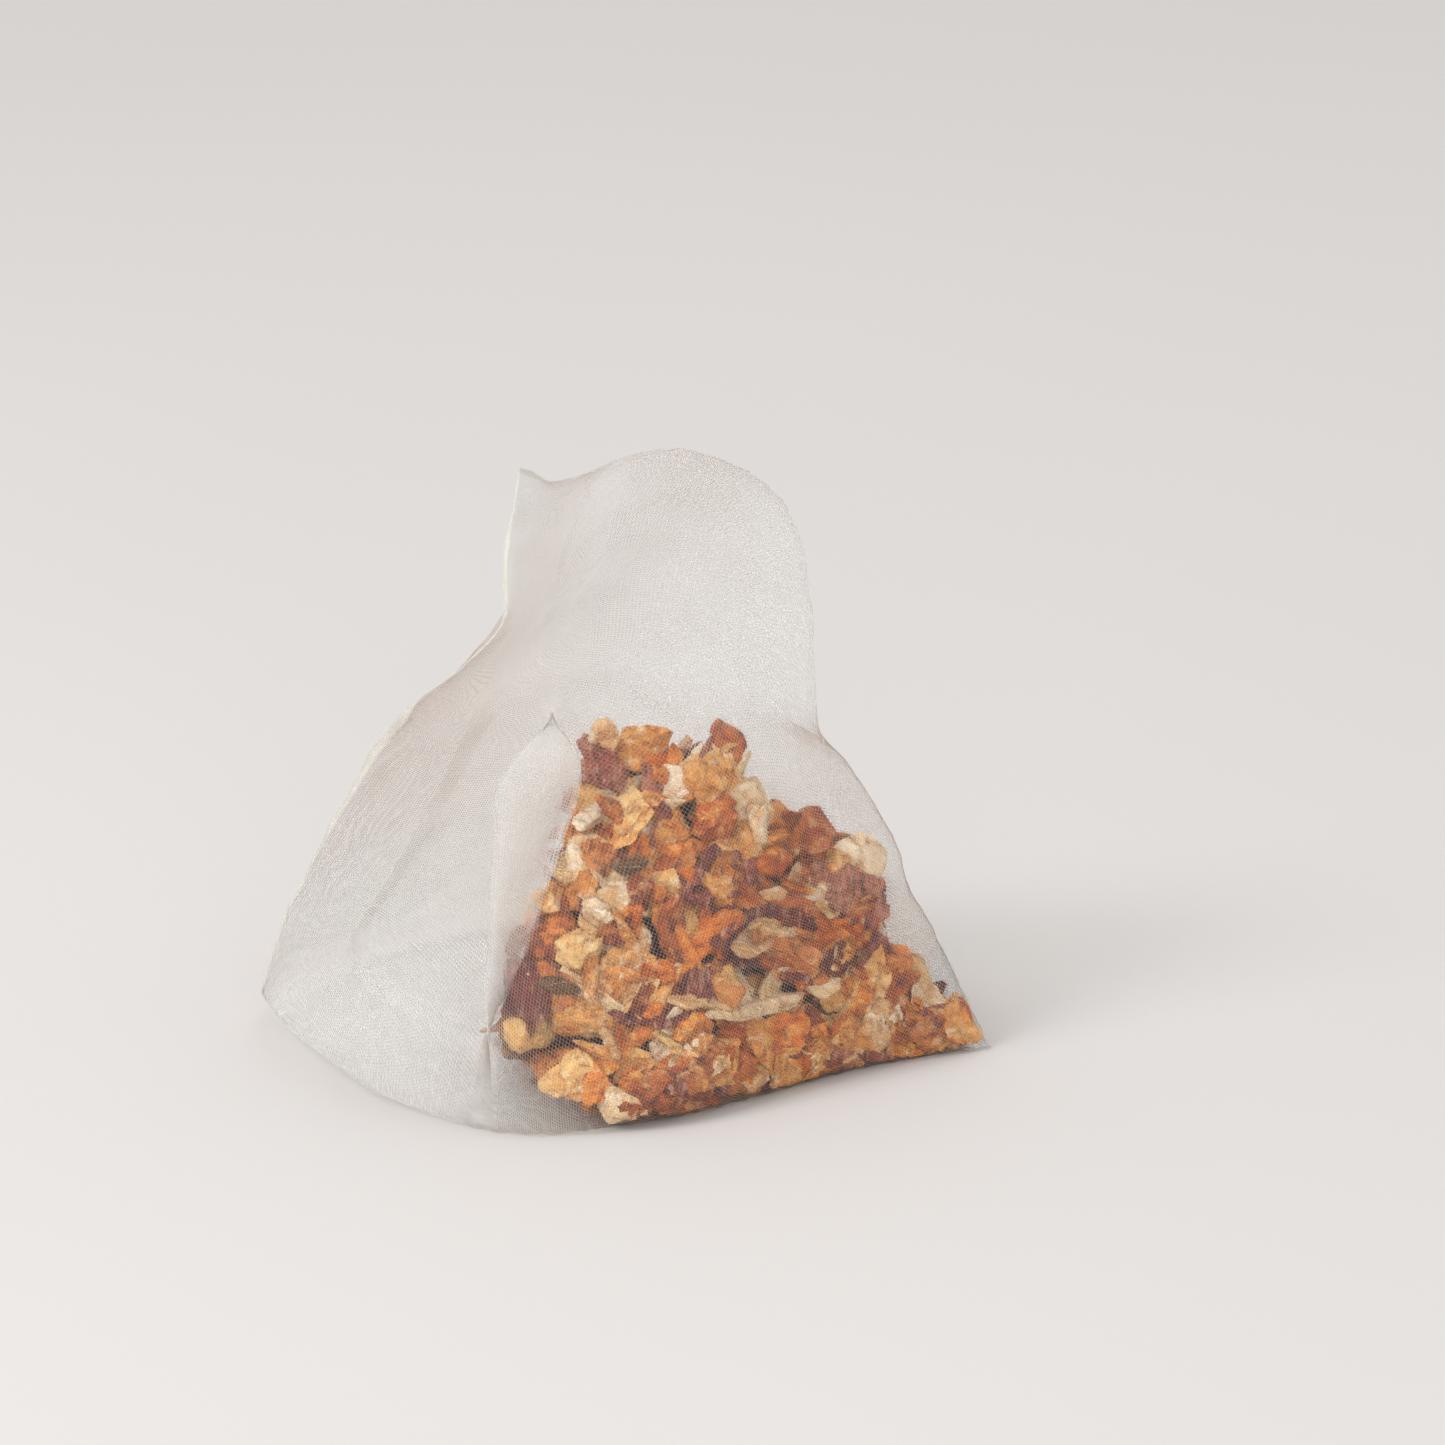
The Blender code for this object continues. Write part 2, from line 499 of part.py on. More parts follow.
def fold_diagonals():
    """Cells that a fold crosses from corner to corner: True where it climbs to the next station."""
    rings = mesh_rings()
    found = {}
    for i in range(1, len(rings) - 2):
        starts = [int(round(f * MESH_STATIONS)) for f in fold_places(rings[i])]
        ends = [int(round(f * MESH_STATIONS)) for f in fold_places(rings[i + 1])]
        for start, end in zip(starts, ends):
            if end == start + 1:
                found[i, start % MESH_STATIONS] = True
            elif end == start - 1:
                found[i, end % MESH_STATIONS] = False
    return found


def window_cells(inner, pressed):
    """Cells of the weave that are left open, spread evenly over the wall."""
    cells = set()
    first = RINGS_BEFORE
    for i in range(2, len(inner) - 3):
        if first - 1 <= i <= first + 4:
            continue
        for j in range(MESH_STATIONS):
            if i % WINDOW_RINGS or (j + 2 * (i // WINDOW_RINGS)) % WINDOW_STATIONS:
                continue
            corners = [(i, j), (i, (j + 1) % MESH_STATIONS),
                       (i + 1, (j + 1) % MESH_STATIONS), (i + 1, j)]
            if not any(pressed[c] for c in corners):
                cells.add((i, j))
    return cells


def bag_mesh(inner, outer, pressed):
    """One solid wall: outer skin, inner skin, the welded ends, and the open cells' sides."""
    mesh = bmesh.new()
    rings = len(inner)
    count = MESH_STATIONS
    skin_out = [[mesh.verts.new(p) for p in row] for row in outer]
    skin_in = [[mesh.verts.new(p) for p in row] for row in inner[1:-1]]
    folded = fold_diagonals()
    open_cells = window_cells(inner, pressed) - set(folded)

    def cell(skin, i, j, k):
        n = (j + 1) % count
        return [skin[i - k][j], skin[i - k][n], skin[i + 1 - k][n], skin[i + 1 - k][j]]

    def fill(corners, climbs):
        if climbs is None:
            mesh.faces.new(corners)
            return
        a, b, c, d = corners if climbs else corners[1:] + corners[:1]
        mesh.faces.new([a, b, c])
        mesh.faces.new([a, c, d])

    def inset(corners):
        middle = sum((c.co for c in corners), Vector()) / 4.0
        return [mesh.verts.new(middle + (c.co - middle) * WINDOW_SHARE) for c in corners]

    for i in range(rings - 1):
        inside = 1 <= i <= rings - 3
        for j in range(count):
            out = cell(skin_out, i, j, 0)
            if (i, j) not in open_cells:
                climbs = folded.get((i, j))
                fill(out, climbs)
                if inside:
                    inn = cell(skin_in, i, j, 1)[::-1]
                    fill(inn, climbs if climbs is None else not climbs)
                continue
            inn = cell(skin_in, i, j, 1)
            hole_out, hole_in = inset(out), inset(inn)
            for k in range(4):
                n = (k + 1) % 4
                mesh.faces.new([out[k], out[n], hole_out[n], hole_out[k]])
                mesh.faces.new([inn[n], inn[k], hole_in[k], hole_in[n]])
                mesh.faces.new([hole_out[k], hole_out[n], hole_in[n], hole_in[k]])
    zip_end(mesh, skin_out[0], 0, True)
    zip_end(mesh, skin_out[-1], count // 4, False)
    zip_end(mesh, skin_in[0], 0, False)
    zip_end(mesh, skin_in[-1], count // 4, True)
    bmesh.ops.reverse_faces(mesh, faces=mesh.faces)
    return mesh


def zip_end(mesh, ring, start, flip):
    """Close a flattened ring across, station against station, from its one tip to the other."""
    count = len(ring)
    for k in range(count // 2):
        a, b = ring[(start + k) % count], ring[(start + k + 1) % count]
        c, d = ring[(start - k - 1) % count], ring[(start - k) % count]
        corners = [a, b, c, d]
        if k == 0:
            corners = [a, b, c]
        elif k == count // 2 - 1:
            corners = [a, b, d]
        mesh.faces.new(corners[::-1] if flip else corners)


def triangles_of(grid):
    """The cells of a grid of points, each as two triangles."""
    a, b = grid[:-1], np.roll(grid, -1, axis=1)[:-1]
    d, c = grid[1:], np.roll(grid, -1, axis=1)[1:]
    first = np.stack([a, b, c], axis=2).reshape(-1, 3, 3)
    second = np.stack([a, c, d], axis=2).reshape(-1, 3, 3)
    return np.concatenate([first, second])


def covered(triangles):
    """Raster cells that triangles cover in the viewer's plane, and the depth in each."""
    cells, depths = [], []
    for triangle in triangles:
        low = np.ceil((triangle[:, :2].min(axis=0) - RASTER_START) / RASTER).astype(int)
        high = np.floor((triangle[:, :2].max(axis=0) - RASTER_START) / RASTER).astype(int)
        if (high < low).any():
            continue
        x, y = np.meshgrid(np.arange(low[0], high[0] + 1), np.arange(low[1], high[1] + 1))
        one, two = triangle[1] - triangle[0], triangle[2] - triangle[0]
        area = one[0] * two[1] - one[1] * two[0]
        if abs(area) < 1e-9:
            continue
        across = x * RASTER + RASTER_START[0] - triangle[0, 0]
        up = y * RASTER + RASTER_START[1] - triangle[0, 1]
        s = (across * two[1] - up * two[0]) / area
        t = (up * one[0] - across * one[1]) / area
        inside = (s >= -1e-6) & (t >= -1e-6) & (s + t <= 1.0 + 1e-6)
        cells.append((x * RASTER_SIZE[1] + y)[inside])
        depths.append((triangle[0, 2] + s * one[2] + t * two[2])[inside])
    return np.concatenate(cells), np.concatenate(depths)


def spread(field, reach, widest):
    """Widest or narrowest value of a field within `reach` cells of each cell."""
    for axis in (0, 1):
        best = field.copy()
        for k in range(1, reach + 1):
            for way in (k, -k):
                best = widest(best, np.roll(field, way, axis=axis))
        field = best
    return field


def room_inside(inner):
    """Depth of the near and the far wall of the bag's room, for each raster cell."""
    across, up, depth = sight(inner)
    cell, deep = covered(triangles_of(np.stack([across, up, depth], axis=-1)))
    order = np.lexsort((deep, cell))
    cell, deep = cell[order], deep[order]
    gap = np.where(cell[1:] == cell[:-1], deep[1:] - deep[:-1], -1.0)
    order = np.argsort(gap, kind="stable")
    order = order[gap[order] > 0.0]
    near = np.full(RASTER_SIZE[0] * RASTER_SIZE[1], np.inf)
    far = np.full(near.shape, -np.inf)
    near[cell[:-1][order]] = deep[:-1][order]
    far[cell[:-1][order]] = deep[1:][order]
    near, far = near.reshape(RASTER_SIZE), far.reshape(RASTER_SIZE)
    return spread(near, 1, np.maximum), spread(far, 1, np.minimum)


def noise_way(place):
    """A direction of length 1 that changes with the place, the same in every build."""
    way = np.array([noise.noise(place + Vector((0.0, 0.0, 31.7 * k))) for k in range(3)])
    return way / np.linalg.norm(way)


def lump(width, height, tilt, seed, kind):
    """One crumb of the mix as points (right, up, ahead) about its middle, and its triangles."""
    boxy, rough, thick, bend = KINDS[kind][:4]
    ball = bmesh.new()
    bmesh.ops.create_icosphere(ball, subdivisions=2, radius=1.0)
    points = np.array([v.co for v in ball.verts])
    faces = [[v.index for v in f.verts] for f in ball.faces]
    ball.free()
    turn = seed * 2.4
    spin = np.array([[math.cos(turn), -math.sin(turn), 0.0],
                     [math.sin(turn), math.cos(turn), 0.0], [0.0, 0.0, 1.0]])
    points = points @ spin.T
    size = (np.abs(points) ** boxy).sum(axis=1) ** (1.0 / boxy)
    points = points / size[:, None]
    shift = Vector((seed * 1.37, seed * 0.71, seed * 0.53))
    for k in range(CUTS):
        way = noise_way(Vector((k * 3.7 + 0.4, seed * 1.9, 5.1)))
        reach = (points @ way).max() * (0.62 + 0.22 * abs(noise.noise(Vector((k * 1.3, seed * 2.3, 0.5)))))
        points = points - np.maximum(points @ way - reach, 0.0)[:, None] * way
    uneven = np.array([noise.noise(Vector(p) * 1.4 + shift) for p in points])
    points = points * (1.0 + rough * uneven * 2.0)[:, None]
    half = np.array([width, height, max(thick * min(width, height), 0.9)]) / 2.0
    points = points / np.abs(points).max(axis=0) * half
    long = 0 if width >= height else 1
    points[:, 2] += bend * half[long] * ((points[:, long] / half[long]) ** 2 - 0.35)
    lean = math.radians(tilt)
    right = points[:, 0] * math.cos(lean) - points[:, 1] * math.sin(lean)
    high = points[:, 0] * math.sin(lean) + points[:, 1] * math.cos(lean)
    return np.stack([right, high, points[:, 2]], axis=1), np.array(faces)


def slope_at(near, across, up, reach):
    """How the wall falls back to the right and upward round a place."""
    reach = max(int(reach / RASTER), 3)
    x = int(round((across - RASTER_START[0]) / RASTER))
    y = int(round((up - RASTER_START[1]) / RASTER))
    patch = near[x - reach:x + reach + 1, y - reach:y + reach + 1]
    known = np.isfinite(patch)
    if known.sum() < 12:
        return 0.0, 0.0
    i, j = np.nonzero(known)
    flat = np.stack([i * RASTER, j * RASTER, np.ones(len(i))], axis=1)
    answer = np.linalg.lstsq(flat, patch[known], rcond=None)[0]
    return float(np.clip(answer[0], -1.1, 1.1)), float(np.clip(answer[1], -1.1, 1.1))


def settle(near, far, piece, seed):
    """Slide a piece along the sight line until it lies on what is in front of it."""
    kind, across, up, width, height, tilt = piece
    across, up = across * RATIO[0], up * RATIO[2]
    for _ in range(9):
        points, faces = lump(width, height, tilt, seed, kind)
        right, rise = slope_at(near, across, up, max(width, height) / 2.0)
        place = points + np.array([across, up, 0.0])
        place[:, 2] += right * points[:, 0] + rise * points[:, 1]
        cell, deep = covered(place[faces])
        front = np.full(near.size, np.inf)
        back = np.full(near.size, -np.inf)
        np.minimum.at(front, cell, deep)
        np.maximum.at(back, cell, deep)
        front = spread(front.reshape(near.shape), 1, np.minimum)
        back = spread(back.reshape(near.shape), 1, np.maximum)
        taken = np.isfinite(front)
        shift = (near[taken] - front[taken]).max() + PIECE_CLEAR
        if (back[taken] + shift + PIECE_CLEAR <= far[taken]).all():
            place[:, 2] += shift
            near[taken] = back[taken] + shift
            return place, faces
        width, height = width * 0.88, height * 0.88
    return None


def from_sight(place):
    """Points given as across, up and depth, back in the bag's own directions."""
    eye = SIGHT_AIM - SIGHT_DISTANCE * SIGHT_AHEAD
    ray = SIGHT_AHEAD + (place[..., :1] - SIGHT_AIM[0]) / SIGHT_DISTANCE * SIGHT_RIGHT
    ray = ray + (place[..., 1:2] - SIGHT_AIM @ SIGHT_UP) / SIGHT_DISTANCE * SIGHT_UP
    return eye + ray * place[..., 2:3]


def in_outline(across, up):
    """Whether a place lies within the heap's outline."""
    inside = False
    across, up = across / RATIO[0], up / RATIO[2]
    for (x1, y1), (x2, y2) in zip(HEAP_OUTLINE, HEAP_OUTLINE[1:] + HEAP_OUTLINE[:1]):
        if (y1 > up) != (y2 > up) and across < x1 + (up - y1) * (x2 - x1) / (y2 - y1):
            inside = not inside
    return inside


def heap_cells(near, far, wall):
    """Cells of the heap's mesh, with the depth of its front and back at their corners."""
    reach = int(math.ceil(HEAP_CELL / RASTER))
    front = spread(np.where(np.isfinite(near), near, 1e6), reach, np.maximum) + PIECE_CLEAR
    back = spread(np.where(np.isfinite(far), far, -1e6), reach, np.minimum) - PIECE_CLEAR
    fall = math.tan(HEAP_SLOPE - SIGHT_TILT)
    top = max(y for _, y in HEAP_OUTLINE) * RATIO[2]
    corners = {}
    for i in range(int(RASTER_SIZE[0] * RASTER / HEAP_CELL)):
        across = RASTER_START[0] + i * HEAP_CELL
        line = [y * 0.25 for y in range(int(top * 4) + 4) if in_outline(across, y * 0.25)]
        if not line:
            continue
        for j in range(int(RASTER_SIZE[1] * RASTER / HEAP_CELL)):
            up = RASTER_START[1] + j * HEAP_CELL
            if not in_outline(across, up):
                continue
            x, y = int(round(i * HEAP_CELL / RASTER)), int(round(j * HEAP_CELL / RASTER))
            bumps = noise.noise(Vector((across * 0.31, up * 0.31, 7.0)))
            start = front[x, y] + 0.5 * (1.0 + bumps)
            end = min(back[x, y], wall[x, y] + HEAP_BROW + (line[-1] - up) / fall) - 0.6 * (1.0 + bumps)
            if end - start > HEAP_THIN:
                corners[i, j] = (across, up, start, end)
    cells = {(i, j) for i, j in corners
             if (i + 1, j) in corners and (i + 1, j + 1) in corners and (i, j + 1) in corners}
    return corners, one_body(cells)


def one_body(cells):
    """The largest group of cells that hang together by whole sides."""
    best = set()
    left = set(cells)
    while left:
        group, queue = set(), [left.pop()]
        while queue:
            i, j = queue.pop()
            group.add((i, j))
            for near in ((i + 1, j), (i - 1, j), (i, j + 1), (i, j - 1)):
                if near in left:
                    left.remove(near)
                    queue.append(near)
        if len(group) > len(best):
            best = group
    for i, j in sorted(best):
        for di, dj in ((1, 1), (1, -1)):
            if (i + di, j + dj) in best and (i + di, j) not in best and (i, j + dj) not in best:
                best.discard((i, j))
    return best


def heap_mesh(corners, cells):
    """Everything behind the pieces, fused to one lumpy solid."""
    mesh = bmesh.new()
    used = {(i + a, j + b) for i, j in cells for a in (0, 1) for b in (0, 1)}
    near, far = {}, {}
    for key in sorted(used):
        across, up, start, end = corners[key]
        near[key] = mesh.verts.new(from_sight(np.array([across, up, start])))
        far[key] = mesh.verts.new(from_sight(np.array([across, up, end])))
    for i, j in sorted(cells):
        keys = [(i, j), (i + 1, j), (i + 1, j + 1), (i, j + 1)]
        mesh.faces.new([near[k] for k in keys])
        mesh.faces.new([far[k] for k in reversed(keys)])
        beside = [(i, j - 1), (i + 1, j), (i, j + 1), (i - 1, j)]
        for n, other in enumerate(beside):
            if other not in cells:
                a, b = keys[n], keys[(n + 1) % 4]
                mesh.faces.new([near[b], near[a], far[a], far[b]])
    return mesh


def build_object(name, mesh, material, offset):
    """Turn a bmesh in millimetres into an object in metres, standing on the origin."""
    bmesh.ops.triangulate(mesh, faces=mesh.faces)
    for vert in mesh.verts:
        vert.co = (vert.co + offset) * MM
    data = bpy.data.meshes.new(name)
    mesh.to_mesh(data)
    mesh.free()
    data.materials.append(material)
    item = bpy.data.objects.new(name, data)
    bpy.context.collection.objects.link(item)
    return item


def make_material(name, color, roughness, alpha=1.0):
    material = bpy.data.materials.new(name)
    material.use_nodes = True
    shader = material.node_tree.nodes["Principled BSDF"]
    shader.inputs["Base Color"].default_value = (*color, 1.0)
    shader.inputs["Roughness"].default_value = roughness
    shader.inputs["Alpha"].default_value = alpha
    return material


def main():
    for item in list(bpy.data.objects):
        bpy.data.objects.remove(item)
    inner, outer, pressed = mesh_grid(cloth_grid())
    low, high = outer.min(axis=(0, 1)), outer.max(axis=(0, 1))
    offset = Vector((-(low[0] + high[0]) / 2, -(low[1] + high[1]) / 2, 0.0))
    cloth = make_material("mesh_cloth", (0.82, 0.81, 0.78), 0.35, 0.6)
    build_object("mesh_bag", bag_mesh(inner, outer, pressed), cloth, offset)
    near, far = room_inside(inner)
    wall = near.copy()
    stuffs = {name: make_material(name, color, 0.7) for name, color in STUFFS.items()}
    number = {}
    for seed, piece in enumerate(PIECES, start=1):
        laid = settle(near, far, piece, seed)
        if laid is None:
            continue
        place, faces = laid
        mesh = bmesh.new()
        verts = [mesh.verts.new(p) for p in from_sight(place)]
        for face in faces:
            mesh.faces.new([verts[k] for k in face])
        bmesh.ops.recalc_face_normals(mesh, faces=mesh.faces)
        kind = piece[0]
        number[kind] = number.get(kind, 0) + 1
        build_object(f"{kind}_{number[kind]:02d}", mesh, stuffs[KINDS[kind][4]], offset)
    heap = heap_mesh(*heap_cells(near, far, wall))
    bmesh.ops.recalc_face_normals(heap, faces=heap.faces)
    build_object("fruit_heap", heap, stuffs["dried_fruit"], offset)


main()
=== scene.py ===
"""Pyramid tea bag in its studio: woven mesh cloth of real threads, welded seams, and the mix of
chopped dried fruit inside. Lengths inside the script are millimetres, and pieces are made in metres.
"""

import math

import bmesh
import bpy
import numpy as np
from mathutils import Matrix, Vector, noise
from mathutils.bvhtree import BVHTree


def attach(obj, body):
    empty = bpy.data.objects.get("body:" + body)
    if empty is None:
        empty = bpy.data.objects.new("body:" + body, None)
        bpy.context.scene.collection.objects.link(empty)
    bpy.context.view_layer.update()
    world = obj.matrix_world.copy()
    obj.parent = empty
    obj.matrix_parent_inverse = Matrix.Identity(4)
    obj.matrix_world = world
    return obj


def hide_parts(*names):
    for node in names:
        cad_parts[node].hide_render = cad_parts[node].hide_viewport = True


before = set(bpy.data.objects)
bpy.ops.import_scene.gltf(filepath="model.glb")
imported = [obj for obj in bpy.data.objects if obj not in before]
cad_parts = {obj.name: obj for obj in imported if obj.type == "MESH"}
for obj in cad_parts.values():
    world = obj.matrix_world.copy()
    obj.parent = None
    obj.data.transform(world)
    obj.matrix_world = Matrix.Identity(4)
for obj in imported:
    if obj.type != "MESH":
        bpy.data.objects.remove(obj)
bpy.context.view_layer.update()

MM = 0.001

# Driving sizes of the bag, in millimetres
BAG_WIDTH = 66.5          # left corner to right corner
BAG_DEPTH = 52.9          # front of the belly to the hidden back corner
BAG_HEIGHT = 55.8         # table to the crown
CLOTH = 0.30              # wall of the bag
WELD_WIDTH = 1.6          # flat welded band along each seam
PLEAT_LAYER_GAP = 0.75    # between the middle lines of the pleat's layers
RIB_HEIGHT = 0.10         # the CAD wall is thicker by this at every second point
HEAP_SLOPE = math.radians(38.0)

# Number of rings and stations of the loft, and of the CAD's coarser mesh
RINGS = 64
STATIONS = 128
MESH_STATIONS = 60
RINGS_BEFORE = 8          # from the upright weld to the pleat
RINGS_AFTER = 17          # from the pleat to the lying weld
TUBE_LENGTH = 66.0        # seam to seam along the cloth

# The viewer's sight line, on which the seen outline was measured
SIGHT_TILT = math.radians(19.0)
SIGHT_DISTANCE = 600.0
SIGHT_AIM = np.array([8.6, 24.0, 30.7])
SIGHT_RIGHT = np.array([1.0, 0.0, 0.0])
SIGHT_AHEAD = np.array([0.0, math.cos(SIGHT_TILT), -math.sin(SIGHT_TILT)])
SIGHT_UP = np.array([0.0, math.sin(SIGHT_TILT), math.cos(SIGHT_TILT)])
EYE = SIGHT_AIM - SIGHT_DISTANCE * SIGHT_AHEAD

# Size at which the outline points below were taken, and the ratio of the bag's size to it
DRAWN_SIZE = np.array([66.5, 52.9, 55.8])
RATIO = np.array([BAG_WIDTH, BAG_DEPTH, BAG_HEIGHT]) / DRAWN_SIZE


def seen(across, up, back):
    """A point that the viewer sees at (across, up), lying `back` behind the belly."""
    ray = SIGHT_DISTANCE * SIGHT_AHEAD + (across - SIGHT_AIM[0]) * SIGHT_RIGHT
    ray = ray + (up - SIGHT_AIM @ SIGHT_UP) * SIGHT_UP
    return EYE + ray * (back - EYE[1]) / ray[1]


def sight(points):
    """Across, up and depth of points, as the viewer sees them."""
    away = points - EYE
    depth = away @ SIGHT_AHEAD
    scale = SIGHT_DISTANCE / depth
    across = away @ SIGHT_RIGHT * scale + SIGHT_AIM[0]
    up = away @ SIGHT_UP * scale + SIGHT_AIM @ SIGHT_UP
    return across, up, depth


# Corners: left low, top, right low, and the hidden back corner
LEFT_CORNER = seen(-32.5, 12.8, 29.0)
TOP_CORNER = seen(-9.5, 59.4, 20.0)
RIGHT_CORNER = seen(32.5, 8.2, 22.5)
BACK_CORNER = np.array([-8.0, 54.0, 0.8])

# Upright seam, from the left corner to the top corner
UPRIGHT_SEAM = [LEFT_CORNER, seen(-30.0, 20.1, 27.5), seen(-26.0, 28.1, 25.0),
                seen(-20.2, 37.5, 22.0), seen(-14.3, 42.1, 19.5), seen(-10.9, 46.1, 18.0),
                seen(-10.7, 51.4, 18.5), TOP_CORNER]
# Lying seam, from the right corner to the back corner
LYING_SEAM = [RIGHT_CORNER, np.array([18.0, 37.0, 0.9]), np.array([4.0, 48.0, 0.8]), BACK_CORNER]
# Crown fold, from the top corner over the shoulder and the waist to the right corner
CROWN_FOLD = [TOP_CORNER, seen(-5.9, 57.2, 21.5), seen(-2.0, 59.2, 23.0), seen(4.8, 61.3, 26.0),
              seen(9.5, 59.6, 28.0), seen(14.3, 55.5, 29.0), seen(16.2, 49.4, 29.0),
              seen(16.7, 42.0, 28.5), seen(17.5, 35.1, 27.0), seen(20.0, 32.6, 26.5),
              seen(22.7, 28.1, 25.5), seen(25.4, 21.9, 24.5), seen(28.5, 15.6, 23.5), RIGHT_CORNER]
# Belly fold, from the left corner forward to the table and on to the right corner
BELLY_FOLD = [LEFT_CORNER, seen(-29.4, 9.6, 21.0), seen(-26.2, 7.3, 14.0), seen(-22.4, 4.9, 9.0),
              seen(-15.6, 2.2, 4.2), seen(-8.6, 0.7, 1.5), seen(1.3, 1.7, 2.9),
              seen(10.2, 3.6, 9.2), seen(20.9, 6.4, 17.0), RIGHT_CORNER]
# Heel fold, along the table behind the left flap
HEEL_FOLD = [LEFT_CORNER, np.array([-30.0, 37.0, 2.4]), np.array([-21.0, 48.0, 1.0]), BACK_CORNER]
# Back fold, from the top corner down to the back corner
BACK_FOLD = [TOP_CORNER, np.array([-6.5, 27.0, 49.0]), np.array([-1.0, 37.0, 42.0]),
             np.array([-1.0, 46.0, 24.0]), BACK_CORNER]

# How far each side swells past the straight line between its folds
FRONT_SWELL = 3.0
BACK_RIGHT_SWELL = 2.6
BACK_LEFT_SWELL = 2.0
BOTTOM_SWELL = 1.5
FOLD_ROUNDS = 7           # passes that round the folds
FOLD_SPREAD = 0.035       # share of the girth over which a rounded fold is brought back out
SEAM_REACH = 0.35         # share of the tube over which a seam's bend dies out

# The pleat: a dart whose foot is low on the belly and which opens under the brow.
# Across and up are as the viewer sees them.
PLEAT_FOOT = (-12.7, 5.6)
PLEAT_LEAN = 0.19         # how its middle line leans to the right with height
PLEAT_SPREAD = 0.286      # width gained with each millimetre of height
PLEAT_BROW = 32.5         # height at which it is widest
PLEAT_FADE_UP = 7.0       # above the brow it opens out over this height
PLEAT_FADE = 16.0         # and to either side over this width
PLEAT_RING = 22           # ring that its middle line is laid on
PLEAT_HALF = 4            # rings from there to each of its two turns
FULL_RING = PLEAT_RING + PLEAT_HALF
PLEAT_TURN = 0.75         # share of that at which the cloth turns back
PLEAT_STATIONS = 0.46     # share of the girth that can run into the pleat
CROSSING_ROUNDS = 6       # passes that even out where the cloth meets it
WIDTH_ROUNDS = 2          # and its width

# Soft ridges and hollows of the front: width, height, line as (across, up)
CREASES = [
    (1.7, 0.55, [(-10.8, 46.0), (-3.2, 51.8), (2.6, 54.5), (6.6, 51.3)]),
    (1.1, 0.30, [(-10.0, 49.5), (-4.5, 53.5)]),
    (2.2, 0.80, [(-12.6, 38.4), (-5.0, 42.4), (1.7, 45.5), (7.9, 50.4), (12.0, 53.6)]),
    (1.9, 0.65, [(-2.8, 35.3), (-1.0, 38.8), (2.1, 43.8), (5.7, 48.7)]),
    (1.6, 0.45, [(14.0, 53.1), (14.2, 44.2), (15.1, 35.3)]),
    (1.7, 0.50, [(-27.8, 24.6), (-25.5, 22.8), (-23.8, 18.3), (-22.7, 15.2), (-22.4, 5.4)]),
    (3.4, -1.1, [(-12.0, 42.6), (-6.5, 46.2), (-1.0, 49.0)]),
    (3.0, -0.8, [(-10.5, 30.0), (-8.5, 33.5)]),
]

# Kinds of fruit piece: material slot, unevenness in millimetres, cuts of each edge
KINDS = {
    "apple_dice": ("apple_flesh", 0.32, 5),
    "apple_slab": ("apple_flesh", 0.30, 5),
    "orange_peel": ("orange_flesh", 0.22, 5),
    "peel_strip": ("pale_peel", 0.22, 5),
    "hibiscus_petal": ("hibiscus", 0.45, 5),
    "rosehip_chunk": ("rosehip", 0.42, 5),
    "seed": ("seed_coat", 0.10, 5),
}
HEAP_FACTS = ("dried_fruit", 0.5, 2)

# Outline of the heap as the viewer sees it, from its upper left corner clockwise
HEAP_OUTLINE = [
    (-4.6, 33.6), (-2.8, 35.3), (2.6, 35.9), (5.9, 35.3), (9.7, 35.1), (10.6, 30.6),
    (12.0, 29.2), (16.9, 26.8), (20.0, 25.4), (24.0, 21.0), (24.9, 17.9), (27.1, 15.6),
    (32.1, 8.9), (20.9, 5.4), (10.2, 2.6), (5.7, 1.7), (-4.1, 1.4), (-10.8, 6.0),
    (-12.1, 11.2), (-7.4, 23.7),
]


def curve(points, share):
    """Smooth line through points, read at shares of its length."""
    points = np.array(points)
    chord = np.linalg.norm(np.diff(points, axis=0), axis=1)
    length = np.concatenate([[0.0], np.cumsum(chord)])
    knot = np.concatenate([[0.0], np.cumsum(np.sqrt(chord))])
    place = np.interp(np.asarray(share) * length[-1], length, knot)
    step = np.diff(knot)
    slope = np.diff(points, axis=0) / step[:, None]
    tangent = np.zeros_like(points)
    tangent[0] = slope[0]
    tangent[-1] = slope[-1]
    before = slope[:-1] * step[1:, None]
    after = slope[1:] * step[:-1, None]
    tangent[1:-1] = (before + after) / (step[:-1] + step[1:])[:, None]
    i = np.clip(np.searchsorted(knot, place, side="right") - 1, 0, len(points) - 2)
    w = ((place - knot[i]) / step[i])[..., None]
    h = step[i][..., None]
    rise = (3.0 - 2.0 * w) * w * w
    return (points[i] * (1.0 - rise) + points[i + 1] * rise
            + tangent[i] * h * w * (1.0 - w) ** 2 - tangent[i + 1] * h * w * w * (1.0 - w))


def side(start, end, swell, share):
    """Straight across from fold to fold, swollen outward by `swell` in the middle."""
    flat = start * (1.0 - share) + end * share
    return flat + swell * (4.0 * share * (1.0 - share)) ** 0.75


def outward(start, end, ahead, amount):
    """A swell square to the side and to the tube's own direction."""
    way = np.cross(ahead, end - start)
    size = np.linalg.norm(way, axis=-1, keepdims=True)
    return way / np.maximum(size, 1e-6) * amount


def seam_share(stations, start):
    """How far along a flattened seam each station lies, 0 at its first corner, 1 at its last."""
    return np.abs(((stations - start) % 1.0 + 0.5) % 1.0 - 0.5) * 2.0


